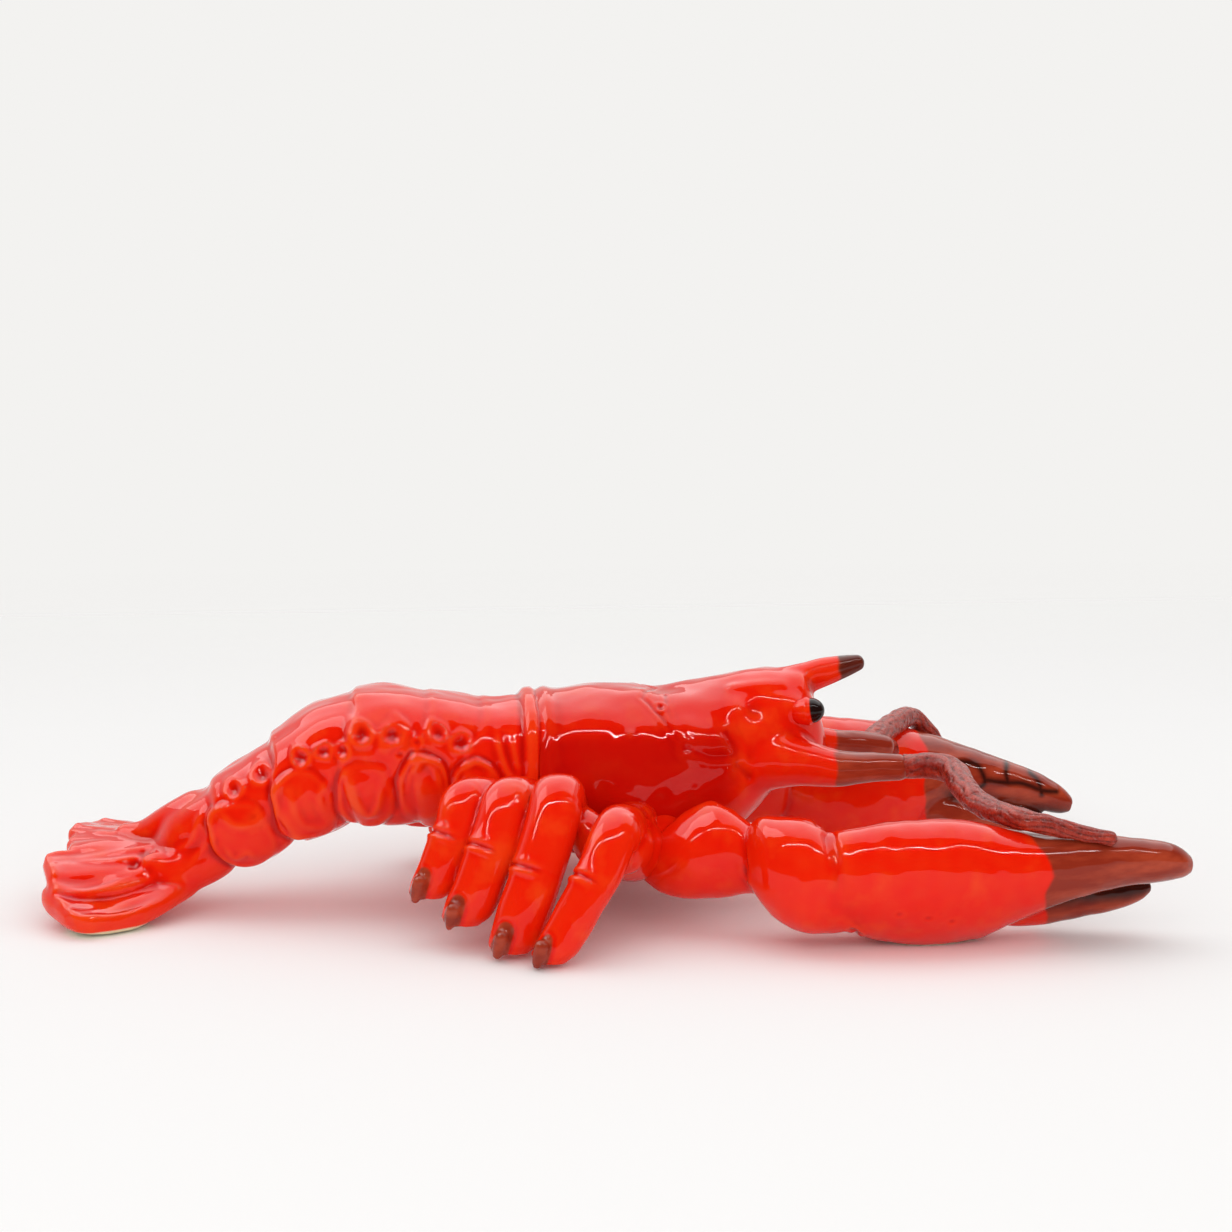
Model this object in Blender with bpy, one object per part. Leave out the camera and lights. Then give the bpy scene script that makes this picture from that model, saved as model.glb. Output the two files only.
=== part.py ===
"""Ceramic lobster figurine: slip-cast body shells and hollow claws, with pressed and rolled
legs, tail plates, eyes and antennae luted on, glazed and fired as one rigid piece.

The head looks along +X, the animal's left is +Y and Z is up. The origin is on the table under
the middle of the figurine's box. Everything is in metres.
"""

import math

import bmesh
import bpy
import numpy as np
from mathutils import Matrix, Vector

MM = 0.001

# Seams and walls
SLIP_GAP = 0.0003          # the seam of slip between two luted pieces
CAST_WALL = 0.0055         # wall of the cast body shells
CLAW_WALL = 0.0050         # wall of the cast claws
VENT_DIAMETER = 0.008      # firing vent in each cast hollow
VENT_REACH = 0.020         # how far the body's vent reaches up through its wall
FOOT_GRIND = 0.0008        # how much of a foot is ground away to sit flat

# Carapace
CARAPACE_REAR_X = -0.026   # seam to the first tail ring
CARAPACE_LENGTH = 0.114    # seam to the front of the head
CARAPACE_WIDTH = 0.070
CARAPACE_TOP = 0.0850      # height of the back above the table
CARAPACE_BELLY = 0.0190    # height of the belly above the table
HEAD_RISE = 0.0075         # how far the brow stands over the back
HEAD_LIFT = 0.0330         # how far the chin stands over the belly
CERVICAL_GROOVE = 0.0022   # depth of the crease across the back

# Tail, from the seam to the root of the fan
TAIL_REACH = 0.146         # along the ground
TAIL_WIDTH = 0.063
TAIL_HUMP = 0.0035         # rise of the hump over the back
TAIL_TAPER = 0.56          # width at the fan over width at the seam
TAIL_BELLY_RISE = 0.0080   # underside of the tail over the belly, at the seam
RING_STARTS = (0.0, 0.134, 0.265, 0.43, 0.61, 0.803, 1.0)       # shares of the tail
RING_STEPS = (0.0008, 0.0009, 0.0011, 0.0024, 0.0032, 0.0030)   # how far each ring overlaps the next
RING_EDGE = 0.07           # share of a ring over which it steps in
PLEURA_DROP = 0.0030       # how far the side lobes hang below the ring
FAN_ROOT_HEIGHT = 0.0225   # middle of the tail where the fan begins
TAIL_CLOSE_AT = 0.90       # share of the tail where its end begins to round off
TAIL_CLOSED = 0.40         # size of the rounded end over the full section

# Tail fan
FAN_TURN = 2.0             # degrees that the fan turns to the animal's left
FAN_EASE = 1.9             # how soon the plates level out behind the root
FAN_ROOT_AT = 0.955        # share of the tail in whose section the plates are rooted
TELSON_ROOT = (0.0023, 0.0, 0.0018)              # ahead of, beside and over that section's middle
TELSON_LENGTH = 0.045
TELSON_WIDTH = 0.030
TELSON_THICK = 0.0100
TELSON_TIP_HEIGHT = 0.0202
TELSON_CURL = 0.0006       # how far the rim curls up
TELSON_ROLL = 9.0          # degrees, the left edge up
INNER_ROOTS = ((0.0023, 0.0050, -0.0027), (0.0023, 0.0050, -0.0002))      # right, left
INNER_LENGTHS = (0.0510, 0.0460)
INNER_WIDTH = 0.029
INNER_THICK = 0.0102
INNER_SPREAD = 15.5        # degrees from the fan's own line
INNER_TIP_HEIGHTS = (0.0152, 0.0208)
INNER_CURLS = (0.0018, 0.0004)
INNER_ROLLS = (22.0, 0.0)
OUTER_ROOTS = ((0.0013, 0.0090, -0.0092), (0.0023, 0.0090, -0.0042))
OUTER_LENGTHS = (0.0530, 0.0470)
OUTER_WIDTHS = (0.0360, 0.0330)
OUTER_THICK = 0.0104
OUTER_SPREAD = 28.5
OUTER_TIP_HEIGHTS = (0.0040, 0.0194)
OUTER_CURLS = (0.0032, 0.0005)
OUTER_ROLLS = (8.0, -5.0)

# Rostrum and eyes
BROW_AT = 0.90             # share of the carapace where the brow stands
ROSTRUM_RUN = ((-0.0110, -0.0110), (-0.0033, -0.0068), (0.0074, -0.0035), (0.0177, -0.0006),
               (0.0280, 0.0026))              # ahead of and over the brow
ROSTRUM_DIAMETERS = (0.0190, 0.0188, 0.0166, 0.0138, 0.0117, 0.0104, 0.0090, 0.0066)
EYE_DIAMETER = 0.0108
EYE_STRETCH = 1.28         # its length along the gaze over its diameter
EYE_RISE = 0.36            # its socket's place up the flank, as a share
EYE_OUT = (0.0014, 0.0012, 0.0012)               # ahead of, outside and over the socket
EYE_GAZE = (0.92, 0.30, 0.16)

# Antennae: runs from the cheek, forward, outward and up
CHEEK_AT = 0.93            # share of the carapace
CHEEK_DROP = -0.62         # share of the depth under its waist
CHEEK_INSET = 0.001
RIGHT_SCAPE = ((-0.0360, -0.0040, 0.0000), (-0.0200, 0.0040, 0.0012), (-0.0060, 0.0080, 0.0003),
               (0.0060, 0.0107, -0.0012), (0.0160, 0.0112, -0.0019), (0.0260, 0.0114, -0.0015),
               (0.0375, 0.0124, -0.0011))
LEFT_SCAPE = ((-0.0360, -0.0038, 0.0019), (-0.0200, 0.0022, 0.0034), (-0.0040, 0.0072, 0.0043),
              (0.0105, 0.0097, 0.0037), (0.0240, 0.0127, 0.0011), (0.0358, 0.0152, -0.0023))
RIGHT_SCAPE_DIAMETERS = (0.0280, 0.0270, 0.0235, 0.0194, 0.0148, 0.0124, 0.0112, 0.0098)
LEFT_SCAPE_DIAMETERS = (0.0260, 0.0240, 0.0210, 0.0170, 0.0138, 0.0120, 0.0106, 0.0092)
COIL_ROOT = 0.0084         # thickness of the coil where it is luted to the scape
COIL_DIAMETER = 0.0098
COIL_TIP = 0.0062
COIL_BACK = 0.0025         # how far the coil's root is set back into the scape

# Walking legs: four a side, counted from the tail
LEG_DIAMETERS = (0.0178, 0.0194, 0.0202, 0.0180)
HIP_AT = (0.06, 0.13, 0.22, 0.345)                 # shares of the carapace from its seam
HIP_RISE = (-0.10, -0.10, -0.12, -0.40)            # shares of the depth under its waist
HIP_INSET = 0.012
KNEE_X = (-0.0545, -0.0395, -0.0225, -0.0018)
KNEE_OUT = (0.0140, 0.0220, 0.0310, 0.0430)       # beyond the flank
KNEE_HEIGHT = (0.0500, 0.0507, 0.0530, 0.0440)
FOOT_BACK = (0.0154, 0.0183, 0.0185, 0.0265)      # behind the knee
FOOT_OUT = (0.0130, 0.0170, 0.0200, 0.0210)       # beyond the knee
FOOT_HEIGHT = (0.0170, 0.0095, 0.0020, 0.0015)
SHIN_SHARE = (0.28, 0.52)                         # shares back and down, and out, at the shin
ANKLE_SHARE = (0.63, 0.82)

# Claw arms: sections of the upper arm from body to wrist
ARM_X = (0.0080, 0.0125, 0.0190, 0.0275, 0.0360, 0.0420, 0.0480, 0.0550)
ARM_OUT = (0.0430, 0.0455, 0.0490, 0.0520, 0.0540, 0.0575, 0.0625, 0.0680)
ARM_TOP = (0.0240, 0.0293, 0.0360, 0.0445, 0.0485, 0.0465, 0.0422, 0.0375)
ARM_BOTTOM = (0.0215, 0.0170, 0.0134, 0.0123, 0.0129, 0.0140, 0.0160, 0.0170)
ARM_HALF = (0.0030, 0.0080, 0.0120, 0.0155, 0.0165, 0.0160, 0.0135, 0.0100)
ARM_ROOT = ((0.0220, 0.0360, 0.0270), (0.0310, 0.0510, 0.0280))   # where its root runs, out of the body
ARM_ROOT_DIAMETERS = (0.0220, 0.0230, 0.0250, 0.0240)
SHOULDER_AT = 0.34
SHOULDER_DROP = -0.35
SHOULDER_INSET = 0.016
WRIST_X = 0.0650
WRIST_OUT = 0.0760
WRIST_HEIGHT = 0.0255
WRIST_REAR = 0.0190        # how far the wrist's block reaches back from its middle
WRIST_LENGTH = 0.0390
WRIST_TOP = (0.0120, 0.0190, 0.0220, 0.0224, 0.0220, 0.0208, 0.0168, 0.0115, 0.0050)
WRIST_BOTTOM = (0.0020, 0.0060, 0.0115, 0.0175, 0.0200, 0.0203, 0.0190, 0.0155, 0.0090)
WRIST_HALF = (0.0060, 0.0100, 0.0140, 0.0176, 0.0184, 0.0176, 0.0158, 0.0125, 0.0070)
ARM_TILT = 0.7             # share of the claw's lift that its arm follows

# Claws
CLAW_LENGTH = 0.1330
PALM_WIDTH = 0.0545
PALM_THICK = 0.0393
PALM_AHEAD = (0.0110, 0.0160)      # right, left: rear of the palm ahead of the wrist's middle
PALM_OUTWARD = 0.0070
FINGER_LENGTH = 0.0660
FINGER_BACK = 0.0120       # how far the loose finger stops short of the fixed one
FINGER_WIDTH = 0.0220
FINGER_THICK = 0.0200
RIGHT_ROLL = 48.0
LEFT_ROLL = 66.0
RIGHT_DIP = 0.8           # degrees that the claw points down
LEFT_DIP = 9.0
RIGHT_REST = 0.28         # share of the claw's length at which it touches the table
LEFT_REST = 0.42
RIGHT_SPREAD = 1.0        # how far the loose finger stands off the fixed one, as a factor
LEFT_SPREAD = 0.80
CLAW_TOE = 0.5             # degrees that the claws turn inwards

RED_GLAZE = (0.76, 0.012, 0.006, 1.0)
BROWN_DIP = (0.11, 0.010, 0.006, 1.0)
BLACK_PUPIL = (0.010, 0.006, 0.006, 1.0)
ROUGH_BROWN = (0.16, 0.022, 0.014, 1.0)


def clear_scene():
    for old in list(bpy.data.objects):
        bpy.data.objects.remove(old, do_unlink=True)


def new_collection(name):
    group = bpy.data.collections.new(name)
    bpy.context.scene.collection.children.link(group)
    return group


def glaze(name, colour, roughness):
    material = bpy.data.materials.new(name)
    material.use_nodes = True
    shader = material.node_tree.nodes["Principled BSDF"]
    shader.inputs["Base Color"].default_value = colour
    shader.inputs["Roughness"].default_value = roughness
    shader.inputs["Metallic"].default_value = 0.0
    return material


def smooth(at, values, where):
    """Monotone cubic through the values, so a section never swells between two stations."""
    at = np.asarray(at, float)
    values = np.asarray(values, float)
    step = np.diff(at)
    slope = np.diff(values) / step
    tangent = np.zeros(len(at))
    tangent[0] = slope[0]
    tangent[-1] = slope[-1]
    for i in range(1, len(at) - 1):
        if slope[i - 1] * slope[i] > 0:
            wide = 2 * step[i] + step[i - 1]
            narrow = step[i] + 2 * step[i - 1]
            tangent[i] = (wide + narrow) / (wide / slope[i - 1] + narrow / slope[i])
    where = np.clip(np.asarray(where, float), at[0], at[-1])
    k = np.clip(np.searchsorted(at, where, side="right") - 1, 0, len(at) - 2)
    u = (where - at[k]) / step[k]
    return (
        (1 + 2 * u) * (1 - u) ** 2 * values[k]
        + u * (1 - u) ** 2 * step[k] * tangent[k]
        + u * u * (3 - 2 * u) * values[k + 1]
        + u * u * (u - 1) * step[k] * tangent[k + 1]
    )


def smooth_path(points, count):
    """Points along a smooth curve through the given ones, evenly spread by chord length."""
    points = np.asarray(points, float)
    chord = np.concatenate([[0], np.cumsum(np.linalg.norm(np.diff(points, axis=0), axis=1))])
    where = np.linspace(0, chord[-1], count)
    padded = np.vstack([2 * points[0] - points[1], points, 2 * points[-1] - points[-2]])
    k = np.clip(np.searchsorted(chord, where, side="right") - 1, 0, len(points) - 2)
    u = ((where - chord[k]) / (chord[k + 1] - chord[k]))[:, None]
    a, b, c, d = padded[k], padded[k + 1], padded[k + 2], padded[k + 3]
    line = 0.5 * (
        2 * b + (c - a) * u + (2 * a - 5 * b + 4 * c - d) * u**2 + (3 * b - a - 3 * c + d) * u**3
    )
    return line, where / chord[-1]


def ring(centre, side, up, half_width, height, depth, squareness, sides):
    """One closed section: a superellipse with its own height above and depth below."""
    turn = np.linspace(0, 2 * math.pi, sides, endpoint=False)
    c = np.cos(turn)
    s = np.sin(turn)
    across = np.sign(c) * np.abs(c) ** (2 / squareness) * half_width
    along = np.sign(s) * np.abs(s) ** (2 / squareness) * np.where(s >= 0, height, depth)
    return np.asarray(centre) + across[:, None] * np.asarray(side) + along[:, None] * np.asarray(up)


def skin(name, rings, group, material):
    """Join equal rings into one closed mesh, each end closed on a pole at its middle."""
    rings = np.asarray(rings)
    count, sides = rings.shape[:2]
    mesh = bmesh.new()
    rows = [[mesh.verts.new(p) for p in loop] for loop in rings]
    for i in range(count - 1):
        for j in range(sides):
            k = (j + 1) % sides
            mesh.faces.new((rows[i][j], rows[i][k], rows[i + 1][k], rows[i + 1][j]))
    for row, centre in ((rows[0], rings[0].mean(axis=0)), (rows[-1], rings[-1].mean(axis=0))):
        pole = mesh.verts.new(centre)
        for j in range(sides):
            mesh.faces.new((row[j], row[(j + 1) % sides], pole))
    bmesh.ops.triangulate(mesh, faces=mesh.faces)
    bmesh.ops.recalc_face_normals(mesh, faces=mesh.faces)
    return finish(name, mesh, group, material)


def finish(name, mesh, group, material):
    data = bpy.data.meshes.new(name)
    mesh.to_mesh(data)
    mesh.free()
    data.shade_smooth()
    data.materials.append(material)
    made = bpy.data.objects.new(name, data)
    group.objects.link(made)
    return made


def tube(name, points, diameters, group, material, count, resolution=3):
    """A tapering rod along a smooth path with rounded ends, drawn as a curve and then meshed."""
    line, share = smooth_path(points, count)
    knots = np.linspace(0, 1, len(diameters))
    radius = smooth(knots, np.asarray(diameters) / 2, share)
    curve = bpy.data.curves.new(name, "CURVE")
    curve.dimensions = "3D"
    curve.bevel_depth = 1.0
    curve.bevel_resolution = resolution
    curve.use_fill_caps = True
    curve.resolution_u = 1
    curve.render_resolution_u = 0
    spline = curve.splines.new("POLY")
    spline.points.add(count - 1)
    for i in range(count):
        spline.points[i].co = (*line[i], 1.0)
        spline.points[i].radius = radius[i]
    rod = bpy.data.objects.new(name + "_line", curve)
    group.objects.link(rod)
    bpy.context.view_layer.update()
    data = bpy.data.meshes.new_from_object(rod.evaluated_get(bpy.context.evaluated_depsgraph_get()))
    place = rod.matrix_world.copy()
    bpy.data.objects.remove(rod, do_unlink=True)
    mesh = bmesh.new()
    mesh.from_mesh(data)
    bpy.data.meshes.remove(data)
    bmesh.ops.remove_doubles(mesh, verts=mesh.verts, dist=0.00002)
    bmesh.ops.recalc_face_normals(mesh, faces=mesh.faces)
    made = finish(name, mesh, group, material)
    made.matrix_world = place
    return made


def cutter_of(piece, cutters):
    """The piece grown by the slip seam, to seat another piece on it."""
    grown = bpy.data.objects.new(piece.name + "_seat", piece.data.copy())
    grown.matrix_world = piece.matrix_world.copy()
    cutters.objects.link(grown)
    grow = grown.modifiers.new("Slip seam", "DISPLACE")
    grow.mid_level = 0.0
    grow.strength = SLIP_GAP
    hide(grown)
    return grown


def hide(guide):
    guide.hide_render = True
    guide.display_type = "WIRE"


def cut(piece, *tools, solver="EXACT"):
    for tool in tools:
        boolean = piece.modifiers.new("Seat " + tool.name, "BOOLEAN")
        boolean.operation = "DIFFERENCE"
        boolean.solver = solver
        boolean.object = tool


def join(piece, other):
    boolean = piece.modifiers.new("Join " + other.name, "BOOLEAN")
    boolean.operation = "UNION"
    boolean.solver = "EXACT"
    boolean.object = other


def box_cutter(name, low, high, cutters):
    mesh = bmesh.new()
    bmesh.ops.create_cube(mesh, size=1.0)
    size = Vector(high) - Vector(low)
    bmesh.ops.scale(mesh, vec=size, verts=mesh.verts)
    bmesh.ops.translate(mesh, vec=(Vector(high) + Vector(low)) / 2, verts=mesh.verts)
    made = finish(name, mesh, cutters, GUIDE)
    hide(made)
    return made


def vent_cutter(name, at, low, high, cutters):
    mesh = bmesh.new()
    bmesh.ops.create_cone(
        mesh, cap_ends=True, segments=10, radius1=VENT_DIAMETER / 2, radius2=VENT_DIAMETER / 2,
        depth=high - low, matrix=Matrix.Translation((at[0], at[1], (low + high) / 2)),
    )
    made = finish(name, mesh, cutters, GUIDE)
    hide(made)
    return made


# The body's sections, as shares of its own length, width and height
CARAPACE_AT = (0.00, 0.035, 0.07, 0.20, 0.34, 0.43, 0.50, 0.60, 0.72, 0.82, 0.91, 0.965, 1.00)
CARAPACE_BROAD = (0.93, 0.985, 0.96, 1.03, 1.02, 0.985, 0.975, 0.90, 0.76, 0.64, 0.51, 0.36, 0.16)
CARAPACE_CHIN = (0.12, 0.06, 0.05, 0.00, 0.00, 0.00, 0.00, 0.06, 0.38, 0.72, 0.92, 0.98, 1.08)
CARAPACE_BROW = (-0.34, -0.10, -0.22, 0.00, -0.05, -0.28, -0.10, 0.22, 0.55, 0.78, 0.70, -0.9, -2.6)


def carapace_section(share):
    """Middle, half-width, height and depth of the carapace at a share of its length."""
    half_width = CARAPACE_WIDTH / 2 * smooth(CARAPACE_AT, CARAPACE_BROAD, share)
    top = CARAPACE_TOP + HEAD_RISE * smooth(CARAPACE_AT, CARAPACE_BROW, share)
    bottom = CARAPACE_BELLY + HEAD_LIFT * smooth(CARAPACE_AT, CARAPACE_CHIN, share)
    waist = bottom + 0.42 * (top - bottom)
    x = CARAPACE_REAR_X + CARAPACE_LENGTH * share
    return x, waist, half_width, top - waist, waist - bottom


def flank(share, side, rise=0.0, inset=0.0):
    """A point on the carapace's flank, inset towards the middle and raised by a share."""
    x, waist, half_width, height, depth = carapace_section(share)
    lift = rise * (height if rise > 0 else depth)
    across = half_width * math.sqrt(max(0.0, 1 - rise * rise))
    return Vector((float(x), side * float(across - inset), float(waist + lift)))


def carapace_rings(shares, inset=0.0):
    rings = []
    for share in shares:
        x, waist, half_width, height, depth = carapace_section(share)
        groove = 1.0
        if inset == 0.0:
            crease = math.exp(-((share - 0.44) / 0.022) ** 2)
            groove = 1.0 - CERVICAL_GROOVE / (CARAPACE_WIDTH / 2) * crease
        rings.append(
            ring(
                (x, 0, waist), (0, 1, 0), (0, 0, 1),
                max(half_width - inset, 0.003) * groove, max(height - inset, 0.004),
                max(depth - inset, 0.004), 2.25, 24,
            )
        )
    return rings


def build_carapace(group, cutters):
    shares = np.concatenate(
        [[0, 0.02, 0.045, 0.07], np.linspace(0.12, 0.36, 5),
         [0.405, 0.425, 0.44, 0.455, 0.475], np.linspace(0.53, 0.91, 8), [0.945, 0.975, 1.0]]
    )
    rings = carapace_rings(shares)
    shell = skin("carapace_shell", rings, group, RED)
    seat = cutter_of(shell, cutters)
    inner = carapace_rings(np.linspace(0.0, 0.80, 10), CAST_WALL)
    outside = np.array(inner[0]) - np.array((0.004, 0, 0))
    hollow = skin("carapace_hollow", [outside] + inner, cutters, GUIDE)
    hide(hollow)
    x = float(carapace_section(0.40)[0])
    vent = vent_cutter("carapace_vent", (x, 0.0), -0.001, CARAPACE_BELLY + VENT_REACH, cutters)
    cut(shell, hollow, vent)
    return shell, seat


# The tail's arch: where its back and its underside run, as shares of its reach
ARCH_AT = (0.0, 0.09, 0.23, 0.36, 0.49, 0.61, 0.71, 0.81, 0.905, 1.0)
ARCH_BACK_X = (0.0, 0.095, 0.245, 0.395, 0.560, 0.700, 0.785, 0.865, 0.950, 1.035)
ARCH_BELLY_X = (0.0, 0.085, 0.220, 0.330, 0.455, 0.560, 0.645, 0.735, 0.830, 0.930)
ARCH_BACK_Z = (-0.02, -0.080, -0.030, 0.012, -0.070, -0.290, -0.425, -0.560, -0.685, -0.780)
ARCH_BELLY_Z = (0.0, 0.040, 0.085, 0.110, 0.110, 0.060, -0.020, -0.110, -0.190, -0.260)
ARCH_BROAD = (0.99, 0.93, 0.99, 1.02, 0.99, 0.92, 0.84, 0.76, 0.68, 0.58)


def tail_section(share):
    """Middle, half-width, half-height and the back's direction at a share of the tail."""
    seam = CARAPACE_REAR_X - SLIP_GAP
    rise = CARAPACE_TOP + TAIL_HUMP - FAN_ROOT_HEIGHT
    belly = CARAPACE_BELLY + TAIL_BELLY_RISE
    back_x = seam - TAIL_REACH * smooth(ARCH_AT, ARCH_BACK_X, share)
    belly_x = seam - TAIL_REACH * smooth(ARCH_AT, ARCH_BELLY_X, share)
    back_z = CARAPACE_TOP + rise * smooth(ARCH_AT, ARCH_BACK_Z, share)
    belly_z = belly + rise * smooth(ARCH_AT, ARCH_BELLY_Z, share)
    taper = 1 - (1 - TAIL_TAPER / 0.56) * share
    half_width = TAIL_WIDTH / 2 * smooth(ARCH_AT, ARCH_BROAD, share) * taper
    back = np.array((back_x, 0.0, back_z))
    under = np.array((belly_x, 0.0, belly_z))
    height = np.linalg.norm(back - under) / 2
    return (back + under) / 2, half_width, height, (back - under) / (2 * height)


def tail_rings(shares, inset=0.0, sides=24):
    """Sections of the tail. Each ring swells to its rear edge, then steps in to the next, and
    its side lobes hang between the seams."""
    rings = []
    for share in shares:
        centre, half_width, height, up = tail_section(share)
        k = min(int(np.searchsorted(RING_STARTS, share, side="right")) - 1, len(RING_STEPS) - 1)
        phase = (share - RING_STARTS[k]) / (RING_STARTS[k + 1] - RING_STARTS[k])
        rise = min(phase / (1 - RING_EDGE), (1 - phase) / RING_EDGE)
        swell = 0.0 if inset else RING_STEPS[k] * (rise - 0.5)
        if share <= 0.0:
            swell = 0.0
        closing = max(0.0, (share - TAIL_CLOSE_AT) / (1 - TAIL_CLOSE_AT))
        full = math.sqrt(1 - (1 - TAIL_CLOSED**2) * closing**2)
        half_width = half_width * full
        height = height * full
        loop = ring(
            centre, (0, 1, 0), up, half_width + swell - inset, height + swell - inset,
            height + swell - inset, 2.35, sides,
        )
        if not inset:
            turn = np.linspace(0, 2 * math.pi, sides, endpoint=False)
            low = np.clip(-np.sin(turn), 0, 1) * np.abs(np.cos(turn)) ** 0.5
            lobe = PLEURA_DROP * math.sin(math.pi * min(phase, 1.0)) ** 0.7 * min(1.0, share / 0.3)
            loop = loop - (low * lobe)[:, None] * up
        rings.append(loop)
    return rings


def build_tail(group, cutters):
    shares = []
    for start, end in zip(RING_STARTS[:-1], RING_STARTS[1:]):
        shares += [start + (end - start) * part for part in (0.0, 0.22, 0.45, 0.70, 1 - RING_EDGE)]
    rings = tail_rings(shares + [0.999])
    tail = skin("abdomen_shell", rings, group, RED)
    seat = cutter_of(tail, cutters)
    inner = tail_rings(np.linspace(0.0, 0.86, 10), CAST_WALL, 16)
    outside = np.array(inner[0]) + np.array((0.004, 0, 0))
    hollow = skin("abdomen_hollow", [outside] + inner, cutters, GUIDE)
    hide(hollow)
    cut(tail, hollow)
    return tail, seat


PLATE_AT = (0.0, 0.12, 0.35, 0.62, 0.84, 0.95, 1.0)
TELSON_BROAD = (0.62, 0.72, 0.90, 1.0, 0.98, 0.86, 0.54)
INNER_BROAD = (0.52, 0.64, 0.85, 1.0, 0.99, 0.87, 0.55)
OUTER_BROAD = (0.48, 0.63, 0.88, 1.0, 0.99, 0.87, 0.56)
PLATE_BODY_AT = (0.0, 0.3, 0.8, 0.95, 1.0)
PLATE_BODY = (1.0, 0.95, 1.0, 0.88, 0.45)


def tail_plate(name, group, root, tip, curl, roll, width, thick, broad):
    """A leaf of the tail fan: a thick rounded slab that widens from its root to its tip."""
    root = np.asarray(root)
    run = np.asarray(tip) - root
    forward = run / np.linalg.norm(run)
    side = np.cross((0, 0, 1), forward)
    side /= -np.linalg.norm(side)
    up = np.cross(side, forward)
    up = up if up[2] > 0 else -up
    tilt = math.radians(roll)
    across, over = side, up
    side = across * math.cos(tilt) + over * math.sin(tilt)
    up = over * math.cos(tilt) - across * math.sin(tilt)
    rings = []
    for share in (0.0, 0.08, 0.2, 0.36, 0.52, 0.66, 0.78, 0.87, 0.93, 0.97, 1.0):
        half = width / 2 * smooth(PLATE_AT, broad, share)
        body = thick / 2 * smooth(PLATE_BODY_AT, PLATE_BODY, share)
        middle = root + run * share
        lifted = min(max((share - 0.55) / 0.50, 0.0), 1.0)
        middle[2] = root[2] + run[2] * (1 - (1 - share) ** FAN_EASE)
        middle[2] = middle[2] + curl * lifted * lifted * (3 - 2 * lifted)
        rings.append(ring(middle, side, up, half, body, body, 2.8, 18))
    return skin(name, rings, group, RED)


def fan_point(root, heading, length, height):
    """The tip of a plate that leaves the root at a heading, in degrees to the animal's left."""
    angle = math.radians(heading)
    return np.array(
        (root[0] - length * math.cos(angle), root[1] + length * math.sin(angle), height)
    )


def build_fan(group, cutters, tail_seat):
    """Telson on top, the inner plates tucked under its edges and the outer ones under those."""
    middle = tail_section(FAN_ROOT_AT)[0]
    floor = box_cutter("floor", (-0.4, -0.3, -0.08), (0.4, 0.3, 0.0), cutters)
    root = middle + np.array(TELSON_ROOT)
    telson = tail_plate(
        "telson", group, root, fan_point(root, FAN_TURN, TELSON_LENGTH, TELSON_TIP_HEIGHT),
        TELSON_CURL, TELSON_ROLL, TELSON_WIDTH, TELSON_THICK, TELSON_BROAD,
    )
    cut(telson, tail_seat)
    telson_seat = cutter_of(telson, cutters)
    made = [telson]
    beside = []
    for word, side, k in (("right", -1, 0), ("left", 1, 1)):
        mirror = np.array((1, side, 1))
        inner_root = middle + np.array(INNER_ROOTS[k]) * mirror
        inner = tail_plate(
            "uropod_inner_" + word, group, inner_root,
            fan_point(
                inner_root, side * INNER_SPREAD + FAN_TURN, INNER_LENGTHS[k], INNER_TIP_HEIGHTS[k]
            ),
            INNER_CURLS[k], INNER_ROLLS[k], INNER_WIDTH, INNER_THICK, INNER_BROAD,
        )
        cut(inner, tail_seat, telson_seat, *beside, floor)
        inner_seat = cutter_of(inner, cutters)
        outer_root = middle + np.array(OUTER_ROOTS[k]) * mirror
        outer = tail_plate(
            "uropod_outer_" + word, group, outer_root,
            fan_point(
                outer_root, side * OUTER_SPREAD + FAN_TURN, OUTER_LENGTHS[k], OUTER_TIP_HEIGHTS[k]
            ),
            OUTER_CURLS[k], OUTER_ROLLS[k], OUTER_WIDTHS[k], OUTER_THICK, OUTER_BROAD,
        )
        cut(outer, tail_seat, telson_seat, inner_seat, *beside, floor, solver="MANIFOLD")
        beside = [inner_seat, cutter_of(outer, cutters)]
        made += [inner, outer]
    return made, floor


def build_head(group, cutters, shell_seat):
    x, waist, half_width, height, depth = (float(v) for v in carapace_section(BROW_AT))
    brow = Vector((x, 0, waist + height))
    rostrum = tube(
        "rostrum", [brow + Vector((ahead, 0, over)) for ahead, over in ROSTRUM_RUN],
        ROSTRUM_DIAMETERS, group, BROWN, 18, 4,
    )
    cut(rostrum, shell_seat)
    rostrum_seat = cutter_of(rostrum, cutters)
    made = [rostrum]
    for word, side in (("right", -1), ("left", 1)):
        socket = flank(BROW_AT, side, EYE_RISE)
        mesh = bmesh.new()
        bmesh.ops.create_uvsphere(mesh, u_segments=14, v_segments=9, radius=EYE_DIAMETER / 2)
        gaze = Vector((EYE_GAZE[0], side * EYE_GAZE[1], EYE_GAZE[2])).normalized()
        turn = Vector((0, 0, 1)).rotation_difference(gaze).to_matrix().to_4x4()
        middle = socket + Vector((EYE_OUT[0], side * EYE_OUT[1], EYE_OUT[2]))
        bmesh.ops.scale(mesh, vec=(1, 1, EYE_STRETCH), verts=mesh.verts)
        bmesh.ops.transform(mesh, matrix=Matrix.Translation(middle) @ turn, verts=mesh.verts)
        eye = finish("eye_" + word, mesh, group, PUPIL)
        cut(eye, shell_seat, rostrum_seat)
        made.append(eye)
    return made, rostrum_seat


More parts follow.
